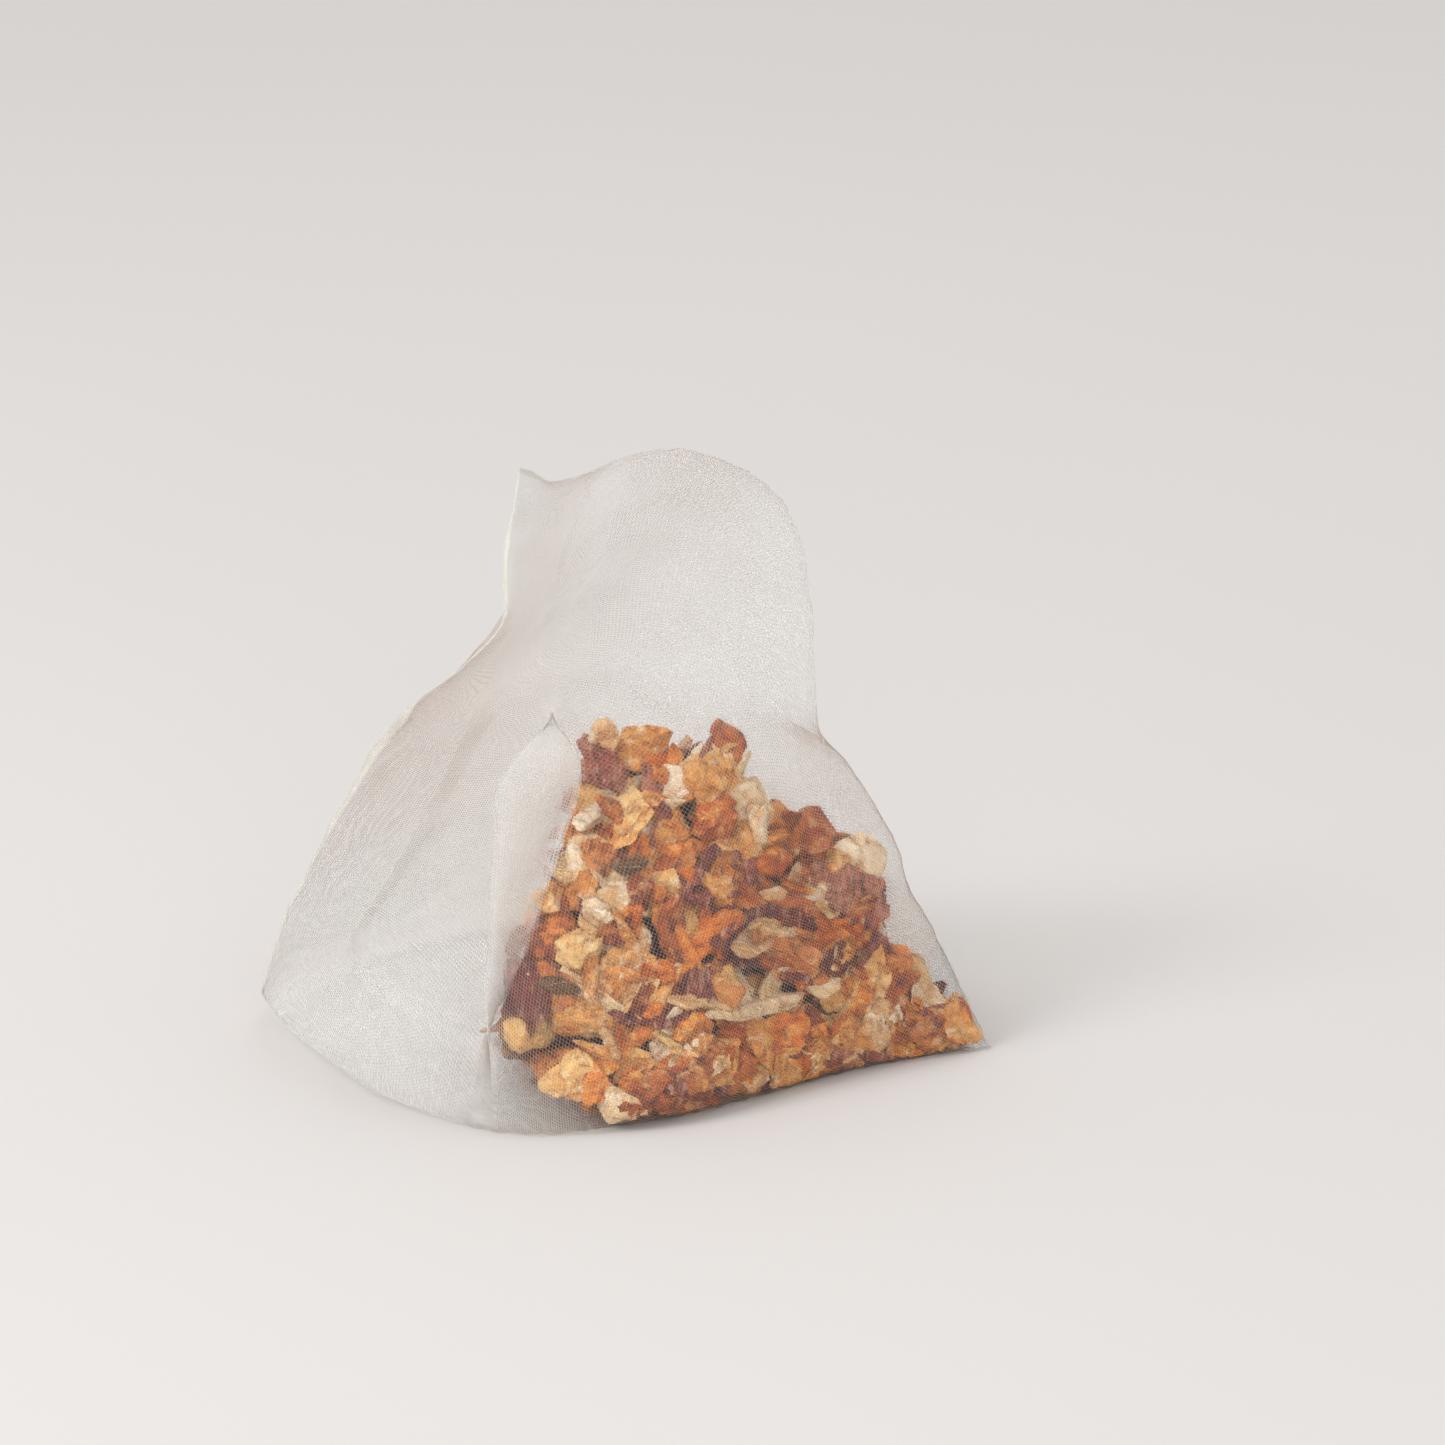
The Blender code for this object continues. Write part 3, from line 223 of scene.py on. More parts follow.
def loft():
    """Inner face of the cloth as rings of points from the upright to the lying seam."""
    u = np.repeat(np.linspace(0.0, 1.0, RINGS + 1)[:, None], STATIONS, axis=1)
    v = np.repeat((np.arange(STATIONS) / STATIONS)[None, :], RINGS + 1, axis=0)
    belly, crown = curve(BELLY_FOLD, u), curve(CROWN_FOLD, u)
    back, heel = curve(BACK_FOLD, u), curve(HEEL_FOLD, u)
    ahead = np.gradient(0.25 * (belly + crown + back + heel), axis=0)
    arch = (np.sin(math.pi * u) ** 0.8)[..., None]
    quarter = u / 4.0
    sides = [
        (-quarter, quarter, heel, belly, BOTTOM_SWELL),
        (quarter, 0.5 - quarter, belly, crown, FRONT_SWELL),
        (0.5 - quarter, 0.5 + quarter, crown, back, BACK_RIGHT_SWELL),
        (0.5 + quarter, 1.0 - quarter, back, heel, BACK_LEFT_SWELL),
        (1.0 - quarter, 1.0 + quarter, heel, belly, BOTTOM_SWELL),
    ]
    grid = np.zeros((RINGS + 1, STATIONS, 3))
    for first, last, start, end, swell in sides:
        share = (v - first) / np.maximum(last - first, 1e-9)
        inside = (share >= 0.0) & (share <= 1.0)
        share = np.clip(share, 0.0, 1.0)[..., None]
        shape = side(start, end, outward(start, end, ahead, swell * arch), share)
        grid[inside] = shape[inside]
    folds = [(quarter[:, 0], belly[:, 0]), (0.5 - quarter[:, 0], crown[:, 0]),
             (0.5 + quarter[:, 0], back[:, 0]), (1.0 - quarter[:, 0], heel[:, 0])]
    grid = soften(grid, u, folds)
    return follow_seams(grid, u, v[0])


def blurred(values, rounds, axis=0):
    """Values evened out with their neighbours round the tube."""
    for _ in range(rounds):
        values = 0.25 * np.roll(values, 1, axis) + 0.5 * values + 0.25 * np.roll(values, -1, axis)
    return values


def soften(grid, u, folds):
    """Round the four folds off without moving their lines."""
    soft = blurred(grid, FOLD_ROUNDS, axis=1)
    amount = np.clip(u / 0.10, 0.0, 1.0) * np.clip((1.0 - u) / 0.22, 0.0, 1.0)
    rings = np.arange(RINGS + 1)
    stations = np.arange(STATIONS)[None, :] / STATIONS
    rounded = soft.copy()
    for place, line in folds:
        low = np.floor(place * STATIONS).astype(int)
        part = (place * STATIONS - low)[:, None]
        here = soft[rings, low % STATIONS] * (1.0 - part) + soft[rings, (low + 1) % STATIONS] * part
        away = np.abs((stations - place[:, None] + 0.5) % 1.0 - 0.5)
        near = np.exp(-(away / FOLD_SPREAD) ** 2)[..., None]
        rounded = rounded + (line - here)[:, None] * near
    return grid + (rounded - grid) * amount[..., None]


def follow_seams(grid, u, stations):
    """Lay the end rings on the two seams, and carry each seam's bend into the rings beside it."""
    low = seam_share(stations, 0.0)
    lying = seam_share(stations, 0.25)
    first = curve(UPRIGHT_SEAM, low)
    last = curve(LYING_SEAM, lying)
    straight_first = LEFT_CORNER + (TOP_CORNER - LEFT_CORNER) * low[:, None]
    straight_last = RIGHT_CORNER + (BACK_CORNER - RIGHT_CORNER) * lying[:, None]
    near_first = (np.clip(1.0 - u / SEAM_REACH, 0.0, 1.0) ** 2)[..., None]
    near_last = (np.clip(1.0 - (1.0 - u) / SEAM_REACH, 0.0, 1.0) ** 2)[..., None]
    grid = grid + (first - straight_first) * near_first + (last - straight_last) * near_last
    grid[0] = first
    grid[-1] = last
    return grid


def smooth_step(value):
    """A value of 0 to 1 eased at both ends."""
    value = np.clip(value, 0.0, 1.0)
    return value * value * (3.0 - 2.0 * value)


def read_rings(grid, ring):
    """The grid read at fractional ring numbers, one for each place."""
    ring = np.clip(ring, 0.0, len(grid) - 1.0)
    low = np.minimum(ring.astype(int), len(grid) - 2)
    part = (ring - low)[..., None]
    column = np.broadcast_to(np.arange(grid.shape[1]), ring.shape)
    return grid[low, column] * (1.0 - part) + grid[low + 1, column] * part


def pleat_middle(up):
    """Where the pleat's middle line is seen, at each height."""
    return PLEAT_FOOT[0] + (up - PLEAT_FOOT[1]) * PLEAT_LEAN


def fold_in_pleat(grid):
    """Lay the left panel over the tea panel in a dart: three layers, widest at the brow."""
    across, up, _ = sight(grid)
    past = across - pleat_middle(up)
    v = np.arange(STATIONS) / STATIONS
    crossing = np.full(STATIONS, np.nan)
    height = np.full(STATIONS, -1.0)
    for j in np.flatnonzero((v > 0.0) & (v < PLEAT_STATIONS)):
        hits = np.flatnonzero((past[:-1, j] < 0.0) & (past[1:, j] >= 0.0))
        if len(hits):
            k = hits[0]
            crossing[j] = k + past[k, j] / (past[k, j] - past[k + 1, j])
            height[j] = np.interp(crossing[j], np.arange(RINGS + 1), up[:, j])
    known = np.flatnonzero(~np.isnan(crossing))
    crossing = np.interp(np.arange(STATIONS), known, crossing[known], period=STATIONS)
    crossing = blurred(crossing, CROSSING_ROUNDS)
    rings = np.arange(RINGS + 1)
    first, last = PLEAT_RING - PLEAT_HALF, FULL_RING
    source = np.zeros((RINGS + 1, STATIONS))
    for j in range(STATIONS):
        knots = [0.0, crossing[j] - PLEAT_HALF / 2, crossing[j] + PLEAT_HALF / 2, RINGS]
        source[:, j] = np.interp(rings, [0, first, last, RINGS], knots)
    grid = read_rings(grid, source)
    across, up, _ = sight(grid)
    rise = height - PLEAT_FOOT[1]
    open_up = 1.0 - smooth_step((height - PLEAT_BROW) / PLEAT_FADE_UP)
    width = np.where(height > 0.0, np.clip(rise, 0.0, None) * PLEAT_SPREAD / 2.0, 0.0)
    half = width * open_up
    full = np.clip(width / PLEAT_LAYER_GAP, 0.0, 1.0) * smooth_step(open_up * 1.2)
    half, full = blurred(half, WIDTH_ROUNDS), blurred(full, WIDTH_ROUNDS)
    own = 0.5 * (across[last] - across[first])
    reach = half + own * full
    middle = 0.5 * (across[last] + across[first])
    left = 1.0 - smooth_step((middle - across - own) / PLEAT_FADE)
    right = 1.0 - smooth_step((across - middle - own) / PLEAT_FADE)
    step = (rings[:, None] - PLEAT_RING) / PLEAT_HALF
    turns = [-1.0, -PLEAT_TURN, PLEAT_TURN, 1.0]
    turn = np.interp(step[:, 0], turns, [1.0, 1.0, -1.0, -1.0])[:, None]
    sideways = np.where(step <= -1.0, left, np.where(step >= 1.0, -right, turn)) * reach
    layer = np.interp(step[:, 0], turns, [-1.0, 0.0, 0.0, 1.0])[:, None]
    inward = np.where(step <= -1.0, -left, np.where(step >= 1.0, right, layer))
    inward = inward * PLEAT_LAYER_GAP * np.clip(full * 1.8, 0.0, 1.0)
    front = (seam_share(v, 0.25) < 0.5)[None, :, None]
    moved = sideways[..., None] * SIGHT_RIGHT + inward[..., None] * SIGHT_AHEAD
    return grid + moved * front


def normals(grid):
    """Outward directions of the cloth at every point of the grid."""
    along = np.gradient(grid, axis=0)
    round_it = np.roll(grid, -1, axis=1) - np.roll(grid, 1, axis=1)
    way = np.cross(along, round_it)
    size = np.linalg.norm(way, axis=-1, keepdims=True)
    return way / np.maximum(size, 1e-9)


def crease(grid):
    """Soft ridges and hollows of the front, each along a line that the viewer sees."""
    across, up, _ = sight(grid)
    facing = smooth_step(-(normals(grid) @ SIGHT_AHEAD) * 2.5)
    lift = np.zeros(across.shape)
    for width, height, line in CREASES:
        line = np.array(line)
        near = np.full(across.shape, 1e9)
        for start, end in zip(line[:-1], line[1:]):
            run = end - start
            share = ((across - start[0]) * run[0] + (up - start[1]) * run[1]) / (run @ run)
            share = np.clip(share, 0.0, 1.0)
            away = np.hypot(across - start[0] - share * run[0], up - start[1] - share * run[1])
            near = np.minimum(near, away)
        lift += height * np.exp(-(near / width) ** 2)
    edge = np.clip(np.minimum(np.arange(RINGS + 1), RINGS - np.arange(RINGS + 1)) / 5.0, 0.0, 1.0)
    return grid + normals(grid) * (lift * facing * edge[:, None])[..., None]


def press_on_table(grid):
    """The belly is pressed flat where it would sink into the table."""
    grid = grid.copy()
    grid[..., 2] = np.maximum(grid[..., 2], CLOTH)
    return grid


def cloth_grid():
    """The whole inner face of the bag, in millimetres."""
    return press_on_table(crease(fold_in_pleat(loft())) * RATIO)


def fold_places(ring):
    """Stations of the four soft folds at a ring: belly, crown, back and heel."""
    quarter = ring / RINGS / 4.0
    return [quarter, 0.5 - quarter, 0.5 + quarter, 1.0 - quarter]


def mesh_rings():
    """Rings of the fine grid that the bag's mesh keeps."""
    weld = WELD_WIDTH * RINGS / TUBE_LENGTH
    before = np.linspace(weld, PLEAT_RING - PLEAT_HALF, RINGS_BEFORE)
    turns = PLEAT_RING + np.array([-PLEAT_TURN, 0.0, PLEAT_TURN]) * PLEAT_HALF
    after = np.linspace(FULL_RING, RINGS - weld, RINGS_AFTER)
    return np.concatenate([[0.0], before, turns, after, [RINGS]])


def cloth_ways(grid):
    """Outward directions of the cloth, also at the tips of its two flat seams."""
    out = normals(grid)
    for k in (0, -1):
        for tip in np.flatnonzero(np.linalg.norm(out[k], axis=1) < 0.5):
            way = grid[k, tip] - grid[k, (tip + 1) % grid.shape[1]]
            out[k, tip] = way / np.linalg.norm(way)
    return out


def outer_face(grid):
    """Outer face of the CAD's bag, on the coarser grid that its mesh is built on.
    On each ring the nearest station is moved onto each fold."""
    rings = mesh_rings()
    place = np.tile(np.arange(MESH_STATIONS, dtype=float), (len(rings), 1))
    for i, ring in enumerate(rings[1:-1], start=1):
        for fold in fold_places(ring):
            nearest = int(round(fold * MESH_STATIONS))
            turns = nearest // MESH_STATIONS
            place[i, nearest % MESH_STATIONS] = fold * MESH_STATIONS - turns * MESH_STATIONS
    every = place * STATIONS / MESH_STATIONS
    low = np.floor(every).astype(int)
    part = (every - low)[..., None]
    ring = np.repeat(np.minimum(rings, RINGS - 1e-6)[:, None], MESH_STATIONS, axis=1)
    row = ring.astype(int)
    down = (ring - row)[..., None]
    near, far = low % STATIONS, (low + 1) % STATIONS
    inner = ((grid[row, near] * (1.0 - part) + grid[row, far] * part) * (1.0 - down)
             + (grid[row + 1, near] * (1.0 - part) + grid[row + 1, far] * part) * down)
    ribs = (np.arange(len(rings))[:, None] + np.arange(MESH_STATIONS)[None, :]) % 2
    outer = inner + cloth_ways(inner) * (CLOTH + RIB_HEIGHT * ribs[..., None])
    pressed = inner[..., 2] <= CLOTH + 1e-6
    outer[pressed] = inner[pressed]
    outer[pressed, 2] = 0.0
    outer[..., 2] = np.maximum(outer[..., 2], 0.0)
    return outer


def in_outline(across, up, outline):
    """Whether a seen place lies within an outline."""
    inside = False
    across, up = across / RATIO[0], up / RATIO[2]
    for (x1, y1), (x2, y2) in zip(outline, outline[1:] + outline[:1]):
        if (y1 > up) != (y2 > up) and across < x1 + (up - y1) * (x2 - x1) / (y2 - y1):
            inside = not inside
    return inside


# The cloth: how its threads are laid, in millimetres
WARP_THREADS = 700        # threads that run from seam to seam
WEFT_THREADS = 310        # threads that run round the tube
THREAD_WIDTH = 0.052      # edge to edge
THREAD_CROWN = 0.018      # rise of a filament's round back over its edges
THREAD_LIFT = 0.03        # one set of threads runs this far over the other
CLOTH_MIDDLE = 0.15       # the cloth's middle, from the inner face of its wall
FLOOR_TOUCH = 0.07        # middle of the threads that lie on the table
WRINKLE = 0.42            # the cloth waves in and out by this
WRINKLE_OUT = 0.15        # but out by no more than this
BROW = (-6.7, 37.9)       # where the pleat opens out, as seen
BROW_REACH = 5.0          # how far round it the cloth is made soft
BROW_ROUNDS = 10          # rounds of smoothing there
BROW_EASE = 0.6           # share of each round
FLOOR_REACH = 3.0         # height over which the cloth comes down to the table
WELD_RINGS = 0.20         # width of a weld, in rings of the cloth
WELD_LIFT = 0.06          # the weld stands this far over the cloth
WELD_STEPS = 4

# The fruit, in millimetres
SWELL = 0.20              # the pieces' skins stand this far over their plain solids
TEA_CLEAR = 0.24          # fruit stays this far behind the cloth
THINNEST = 0.05           # a squashed piece keeps this much
LINING_DEPTH = 2.3        # middle of the crumbs that lie behind the larger pieces, from the cloth
EDGE_DEPTH = 0.9          # and along the bottom edge
EDGE_HEIGHT = 2.0         # up to this height over the table
EDGE_RISE = 7.0           # and over this rise it comes to the full depth
# Outline of the crumbs that show through the pleat, as the viewer sees it
PLEAT_OUTLINE = [(-2.8, 34.5), (-9.5, 12.0), (-11.0, 14.0), (-9.5, 24.0), (-6.5, 31.0)]
CRUMB_REACH = 2.0         # crumbs start this far inside the heap's left edge
SCAN = 0.25               # step at which the heap's outline is looked along
SCAN_SIDES = (-12.5, 33.75)
SCAN_TOP = 40.0
TURNED_AWAY = 0.25        # cloth whose way out leans back by less than this faces the viewer
UNDERSIDE = -0.2          # the heap's slopes that look down more than this bear no crumbs
CRUMB_SETS = [
    # name, slot, crumbs on each square millimetre, size, seed
    ("apple_crumbs", "apple_flesh", 0.055, 3.9, 11),
    ("orange_crumbs", "orange_flesh", 0.055, 3.5, 23),
    ("peel_crumbs", "pale_peel", 0.045, 3.5, 37),
    ("hibiscus_crumbs", "hibiscus", 0.050, 3.9, 41),
    ("rosehip_crumbs", "rosehip", 0.060, 3.5, 59),
]
GOLDEN = 0.381966         # spreads the pieces' shades evenly
CHIP_ROUNDNESS = 3        # subdivisions of the ball that a chip is cut from
CHIP_POINTS = 162         # and its points
CHIP_CUTS = 6             # flat cuts on each chip, as a chopper leaves them
CHIP_TILT = 0.45          # a chip leans this much from the surface that it lies on
CHIP_SIZES = (0.6, 1.5)   # share of its set's size
CHIP_SHAPES = [
    # long, wide, thick, curl
    (1.10, 0.80, 0.34, 0.5),
    (1.80, 0.42, 0.24, 0.7),
    (0.95, 0.72, 0.52, 0.2),
    (1.45, 1.00, 0.20, 0.9),
    (1.25, 0.60, 0.30, -0.6),
]

# The studio
PICTURE_WIDTH = 129.0     # width of the picture at the object, in millimetres
SENSOR_WIDTH = 36.0       # of the camera, which sets its lens
TABLE_HALF = 3.0          # in metres
WORLD_STRENGTH = 0.89
LIGHTS = [
    # name, place in metres, size in metres, watts
    ("soft_left", (-0.50, -0.25, 0.55), (0.28, 0.28), 3.2),
    ("soft_front", (0.05, -0.95, 0.34), (0.6, 0.4), 2.8),
    ("soft_top", (0.15, 0.30, 0.8), (0.3, 0.3), 0.7),
]


def linear(red, green, blue):
    """A screen colour of 0 to 255 as a linear one."""
    return tuple(((c / 255 + 0.055) / 1.055) ** 2.4 if c > 10 else c / 3294.6
                 for c in (red, green, blue)) + (1.0,)


def smooth_mesh(name, points, faces, material):
    """A mesh object in metres, from points in the bag's own millimetres."""
    data = bpy.data.meshes.new(name)
    data.from_pydata((np.asarray(points) * MM).tolist(), [], faces)
    data.polygons.foreach_set("use_smooth", np.ones(len(data.polygons), dtype=bool))
    data.materials.append(material)
    data.update()
    item = bpy.data.objects.new(name, data)
    bpy.context.scene.collection.objects.link(item)
    return item


class Nodes:
    """A material's node tree, with short ways to add the nodes that the finishes here use."""

    def __init__(self, name, roughness=0.6):
        self.material = bpy.data.materials.new(name)
        self.material.use_nodes = True
        self.tree = self.material.node_tree
        self.shader = self.tree.nodes["Principled BSDF"]
        self.shader.inputs["Roughness"].default_value = roughness
        self.place = self.tree.nodes.new("ShaderNodeTexCoord").outputs["Object"]

    def link(self, source, target):
        self.tree.links.new(source, target)
        return source

    def noise(self, scale, detail=4.0, rough=0.6, distortion=0.0, place=None):
        node = self.tree.nodes.new("ShaderNodeTexNoise")
        node.inputs["Scale"].default_value = scale
        node.inputs["Detail"].default_value = detail
        node.inputs["Roughness"].default_value = rough
        node.inputs["Distortion"].default_value = distortion
        self.link(place or self.place, node.inputs["Vector"])
        return node.outputs["Fac"]

    def cells(self, scale):
        node = self.tree.nodes.new("ShaderNodeTexVoronoi")
        node.inputs["Scale"].default_value = scale
        self.link(self.place, node.inputs["Vector"])
        return node.outputs["Distance"]

    def stretched(self, scale):
        node = self.tree.nodes.new("ShaderNodeMapping")
        node.inputs["Scale"].default_value = scale
        self.link(self.place, node.inputs["Vector"])
        return node.outputs["Vector"]

    def attribute(self, name):
        node = self.tree.nodes.new("ShaderNodeAttribute")
        node.attribute_name = name
        return node.outputs["Fac"]

    def ramp(self, value, stops):
        node = self.tree.nodes.new("ShaderNodeValToRGB")
        steps = node.color_ramp.elements
        while len(steps) < len(stops):
            steps.new(0.5)
        for step, (at, color) in zip(steps, stops):
            step.position = at
            step.color = color
        self.link(value, node.inputs["Fac"])
        return node.outputs["Color"]

    def mix(self, share, first, second):
        node = self.tree.nodes.new("ShaderNodeMix")
        node.data_type = "RGBA"
        sockets = node.inputs[0], node.inputs[6], node.inputs[7]
        for value, socket in zip((share, first, second), sockets):
            if isinstance(value, (int, float, tuple)):
                socket.default_value = value
            else:
                self.link(value, socket)
        return node.outputs[2]

    def math(self, kind, first, second):
        node = self.tree.nodes.new("ShaderNodeMath")
        node.operation = kind
        for value, socket in ((first, node.inputs[0]), (second, node.inputs[1])):
            if isinstance(value, (int, float)):
                socket.default_value = value
            else:
                self.link(value, socket)
        return node.outputs[0]

    def bump(self, height, strength, depth):
        node = self.tree.nodes.new("ShaderNodeBump")
        node.inputs["Strength"].default_value = strength
        node.inputs["Distance"].default_value = depth
        self.link(height, node.inputs["Height"])
        self.link(node.outputs["Normal"], self.shader.inputs["Normal"])

    def color(self, source):
        self.link(source, self.shader.inputs["Base Color"])


# Finish of each kind of fruit: flesh from dark to light, dark spots, light spots, how fine its
# grain is, roughness, and how the grain is drawn out. The flesh tone and the dark spots follow the
# bump's heights, so besides the fruit's own tones they paint shade in its hollows and light on its rises
FRUIT_FINISHES = {
    "apple_flesh": ([(198, 114, 36), (226, 156, 76), (244, 204, 136)],
                    (150, 70, 16), (250, 226, 182), 900.0, 0.50, None),
    "orange_flesh": ([(176, 76, 8), (212, 112, 24), (234, 152, 62)],
                     (118, 40, 3), (244, 184, 100), 700.0, 0.38, None),
    "pale_peel": ([(208, 152, 94), (230, 192, 140), (246, 224, 194)],
                  (170, 102, 44), (252, 242, 220), 420.0, 0.46, (1.0, 5.0, 1.0)),
    "hibiscus": ([(100, 32, 24), (158, 78, 58), (204, 136, 108)],
                 (58, 14, 10), (220, 166, 134), 520.0, 0.55, (4.0, 1.0, 1.0)),
    "rosehip": ([(118, 42, 8), (178, 88, 28), (214, 136, 66)],
                (78, 24, 8), (230, 178, 122), 760.0, 0.50, None),
    "seed_coat": ([(112, 68, 34), (148, 102, 56), (178, 138, 84)],
                  (66, 40, 22), (190, 168, 116), 900.0, 0.40, (1.0, 1.0, 6.0)),
    "dried_fruit": ([(84, 28, 4), (134, 56, 10), (184, 98, 30)],
                    (40, 10, 2), (220, 146, 70), 1100.0, 0.65, None),
}
FLESH_STOPS = (0.25, 0.5, 0.75)
BLACK, WHITE = (0, 0, 0, 1), (1, 1, 1, 1)


def fruit_material(name, flesh, dark, light, grain, roughness, stretch):
    """Dried fruit: a flesh that varies over each piece and from piece to piece, with painted shade in
    the bump's hollows and painted light on its rises.
    """
    n = Nodes(name, roughness)
    tint = n.attribute("tint")
    broad = n.noise(330.0, 4.0, 0.6, 0.8)
    # Flesh lighter where the broad noise is high, which the bump also raises: the fruit's random tone,
    # and also painted light on the rises and painted shade in the hollows
    shade = n.math("ADD", n.math("MULTIPLY", broad, 0.62), n.math("MULTIPLY", tint, 0.40))
    base = n.ramp(shade, [(at, linear(*color)) for at, color in zip(FLESH_STOPS, flesh)])
    place = n.stretched(stretch) if stretch else n.place
    fibre = n.noise(grain, 6.0, 0.72, 0.6, place)
    # Dark spots where the grain noise is low, which the bump also sinks: the fruit's own dark spots, and
    # also painted shade in the pits
    spots_and_pit_shade = n.ramp(fibre, [(0.36, WHITE), (0.52, BLACK)])
    base = n.mix(n.math("MULTIPLY", spots_and_pit_shade, 0.85), base, linear(*dark))
    fleck = n.noise(grain * 0.8, 4.0, 0.65, 0.5, place)
    flecks = n.ramp(fleck, [(0.54, BLACK), (0.68, WHITE)])
    base = n.mix(n.math("MULTIPLY", flecks, 0.70), base, linear(*light))
    n.color(base)
    n.bump(n.math("ADD", fibre, n.math("MULTIPLY", broad, 1.2)), 1.0, 0.0006)
    return n.material


def thread_material():
    """Clear nylon filament: it scatters white light and lets what lies behind shine through."""
    n = Nodes("mesh_thread", 0.48)
    n.color(n.ramp(n.noise(90.0, 2.0), [(0.35, linear(255, 254, 250)), (0.65, linear(255, 255, 254))]))
    n.shader.inputs["Specular IOR Level"].default_value = 0.5
    n.shader.inputs["Transmission Weight"].default_value = 0.93
    n.shader.inputs["IOR"].default_value = 1.3
    return n.material


def film_material():
    """The haze of finer fibres between the threads."""
    n = Nodes("mesh_haze", 0.35)
    n.color(n.ramp(n.noise(140.0, 3.0), [(0.35, linear(246, 245, 241)), (0.65, linear(250, 249, 246))]))
    n.shader.inputs["Alpha"].default_value = 0.02
    return n.material


def weld_material():
    """Cloth melted to a thin clear ribbon, faintly green at its cut edge."""
    n = Nodes("welded_seam", 0.32)
    n.color(n.ramp(n.noise(600.0, 3.0), [(0.35, linear(232, 233, 214)), (0.65, linear(244, 244, 234))]))
    n.bump(n.cells(2600.0), 0.5, 0.0001)
    n.shader.inputs["Alpha"].default_value = 0.20
    return n.material


def wrinkles(points):
    """How far the limp cloth waves in and out, at each of its points."""
    waves = [WRINKLE * (noise.noise(Vector((x * 0.13, y * 0.13, z * 0.30))) +
                        0.5 * noise.noise(Vector((x * 0.34, y * 0.34, z * 0.16 + 9.0))))
             for x, y, z in points.reshape(-1, 3)]
    waves = np.clip(waves, -WRINKLE, WRINKLE_OUT).reshape(points.shape[:2])
    return waves * smooth_step((points[..., 2] - 3.0) / 8.0)


def soft_brow(points):
    """The cloth with the place where the pleat opens out made soft and round."""
    across, up, depth = sight(points)
    near = np.exp(-((across - BROW[0]) ** 2 + (up - BROW[1]) ** 2) / BROW_REACH ** 2)
    near = (near * (depth < depth.min() + (depth.max() - depth.min()) * 0.5))[1:-1, :, None]
    for _ in range(BROW_ROUNDS):
        around = (points[:-2] + points[2:] + np.roll(points, 1, axis=1)[1:-1]
                  + np.roll(points, -1, axis=1)[1:-1]) / 4
        inner = points[1:-1] * (1 - BROW_EASE * near) + around * BROW_EASE * near
        points = np.concatenate([points[:1], inner, points[-1:]])
    return points


def cloth_surface():
    """Middle face of the cloth and its outward directions, in the bag's own millimetres."""
    inner = cloth_grid()
    out = cloth_ways(inner)
    middle = soft_brow(inner + out * (CLOTH_MIDDLE + wrinkles(inner)[..., None]))
    sink = (CLOTH + CLOTH_MIDDLE) - FLOOR_TOUCH
    middle[..., 2] -= sink * (1.0 - smooth_step((middle[..., 2] - CLOTH) / FLOOR_REACH))
    middle[..., 2] = np.maximum(middle[..., 2], FLOOR_TOUCH)
    return middle, out


def lay_threads(name, lines, outs, closed, material, lift):
    """A filament with a round back along each line of points."""
    lines = lines + outs * lift
    if closed:
        ahead = np.roll(lines, -1, axis=1) - np.roll(lines, 1, axis=1)
    else:
        ahead = np.gradient(lines, axis=1)
    beside = np.cross(ahead, outs)
    beside /= np.maximum(np.linalg.norm(beside, axis=-1, keepdims=True), 1e-9)
    count, steps = lines.shape[:2]
    edge = THREAD_WIDTH / 2
    points = np.stack([lines + edge * beside, lines + THREAD_CROWN * outs, lines - edge * beside],
                      axis=2)
    thread = np.arange(count)[:, None, None] * steps * 3
    here = np.arange(steps if closed else steps - 1)[None, :, None] * 3
    ahead_by = (np.arange(1, steps + 1) % steps)[None, :, None] * 3 if closed else here + 3
    side = np.arange(2)[None, None, :]
    faces = np.stack([thread + here + side, thread + ahead_by + side,
                      thread + ahead_by + side + 1, thread + here + side + 1], axis=-1)
    return smooth_mesh(name, points.reshape(-1, 3), faces.reshape(-1, 4).tolist(), material)


def weave(middle, out, material):
    """Both sets of threads, each as two pieces: along the tube from seam to seam, and round it."""
    pieces = []
    for half, name in enumerate(("mesh_warp_front", "mesh_warp_back")):
        count = WARP_THREADS // 2
        place = (np.arange(count) + half * count) * STATIONS / WARP_THREADS
        low = place.astype(int)
        part = (place - low)[None, :, None]
        lines, ways = ((grid[:, low] * (1.0 - part) + grid[:, (low + 1) % STATIONS] * part)
                       .transpose(1, 0, 2) for grid in (middle, out))
        pieces.append(lay_threads(name, lines, ways, False, material, THREAD_LIFT))
    for half, name in enumerate(("mesh_weft_left", "mesh_weft_right")):
        count = WEFT_THREADS // 2
        place = (np.arange(count) + half * count + 0.5) / WEFT_THREADS * RINGS
        ring = np.repeat(place[:, None], STATIONS, axis=1)
        pieces.append(lay_threads(name, read_rings(middle, ring), read_rings(out, ring), True,
                                  material, -THREAD_LIFT))
    return pieces


def tube_faces(rings):
    """Faces of a tube of points, ring after ring, pointing outwards."""
    index = np.arange(rings * STATIONS).reshape(rings, STATIONS)
    after = np.roll(index, -1, axis=1)
    return np.stack([index[:-1], index[1:], after[1:], after[:-1]], axis=-1)


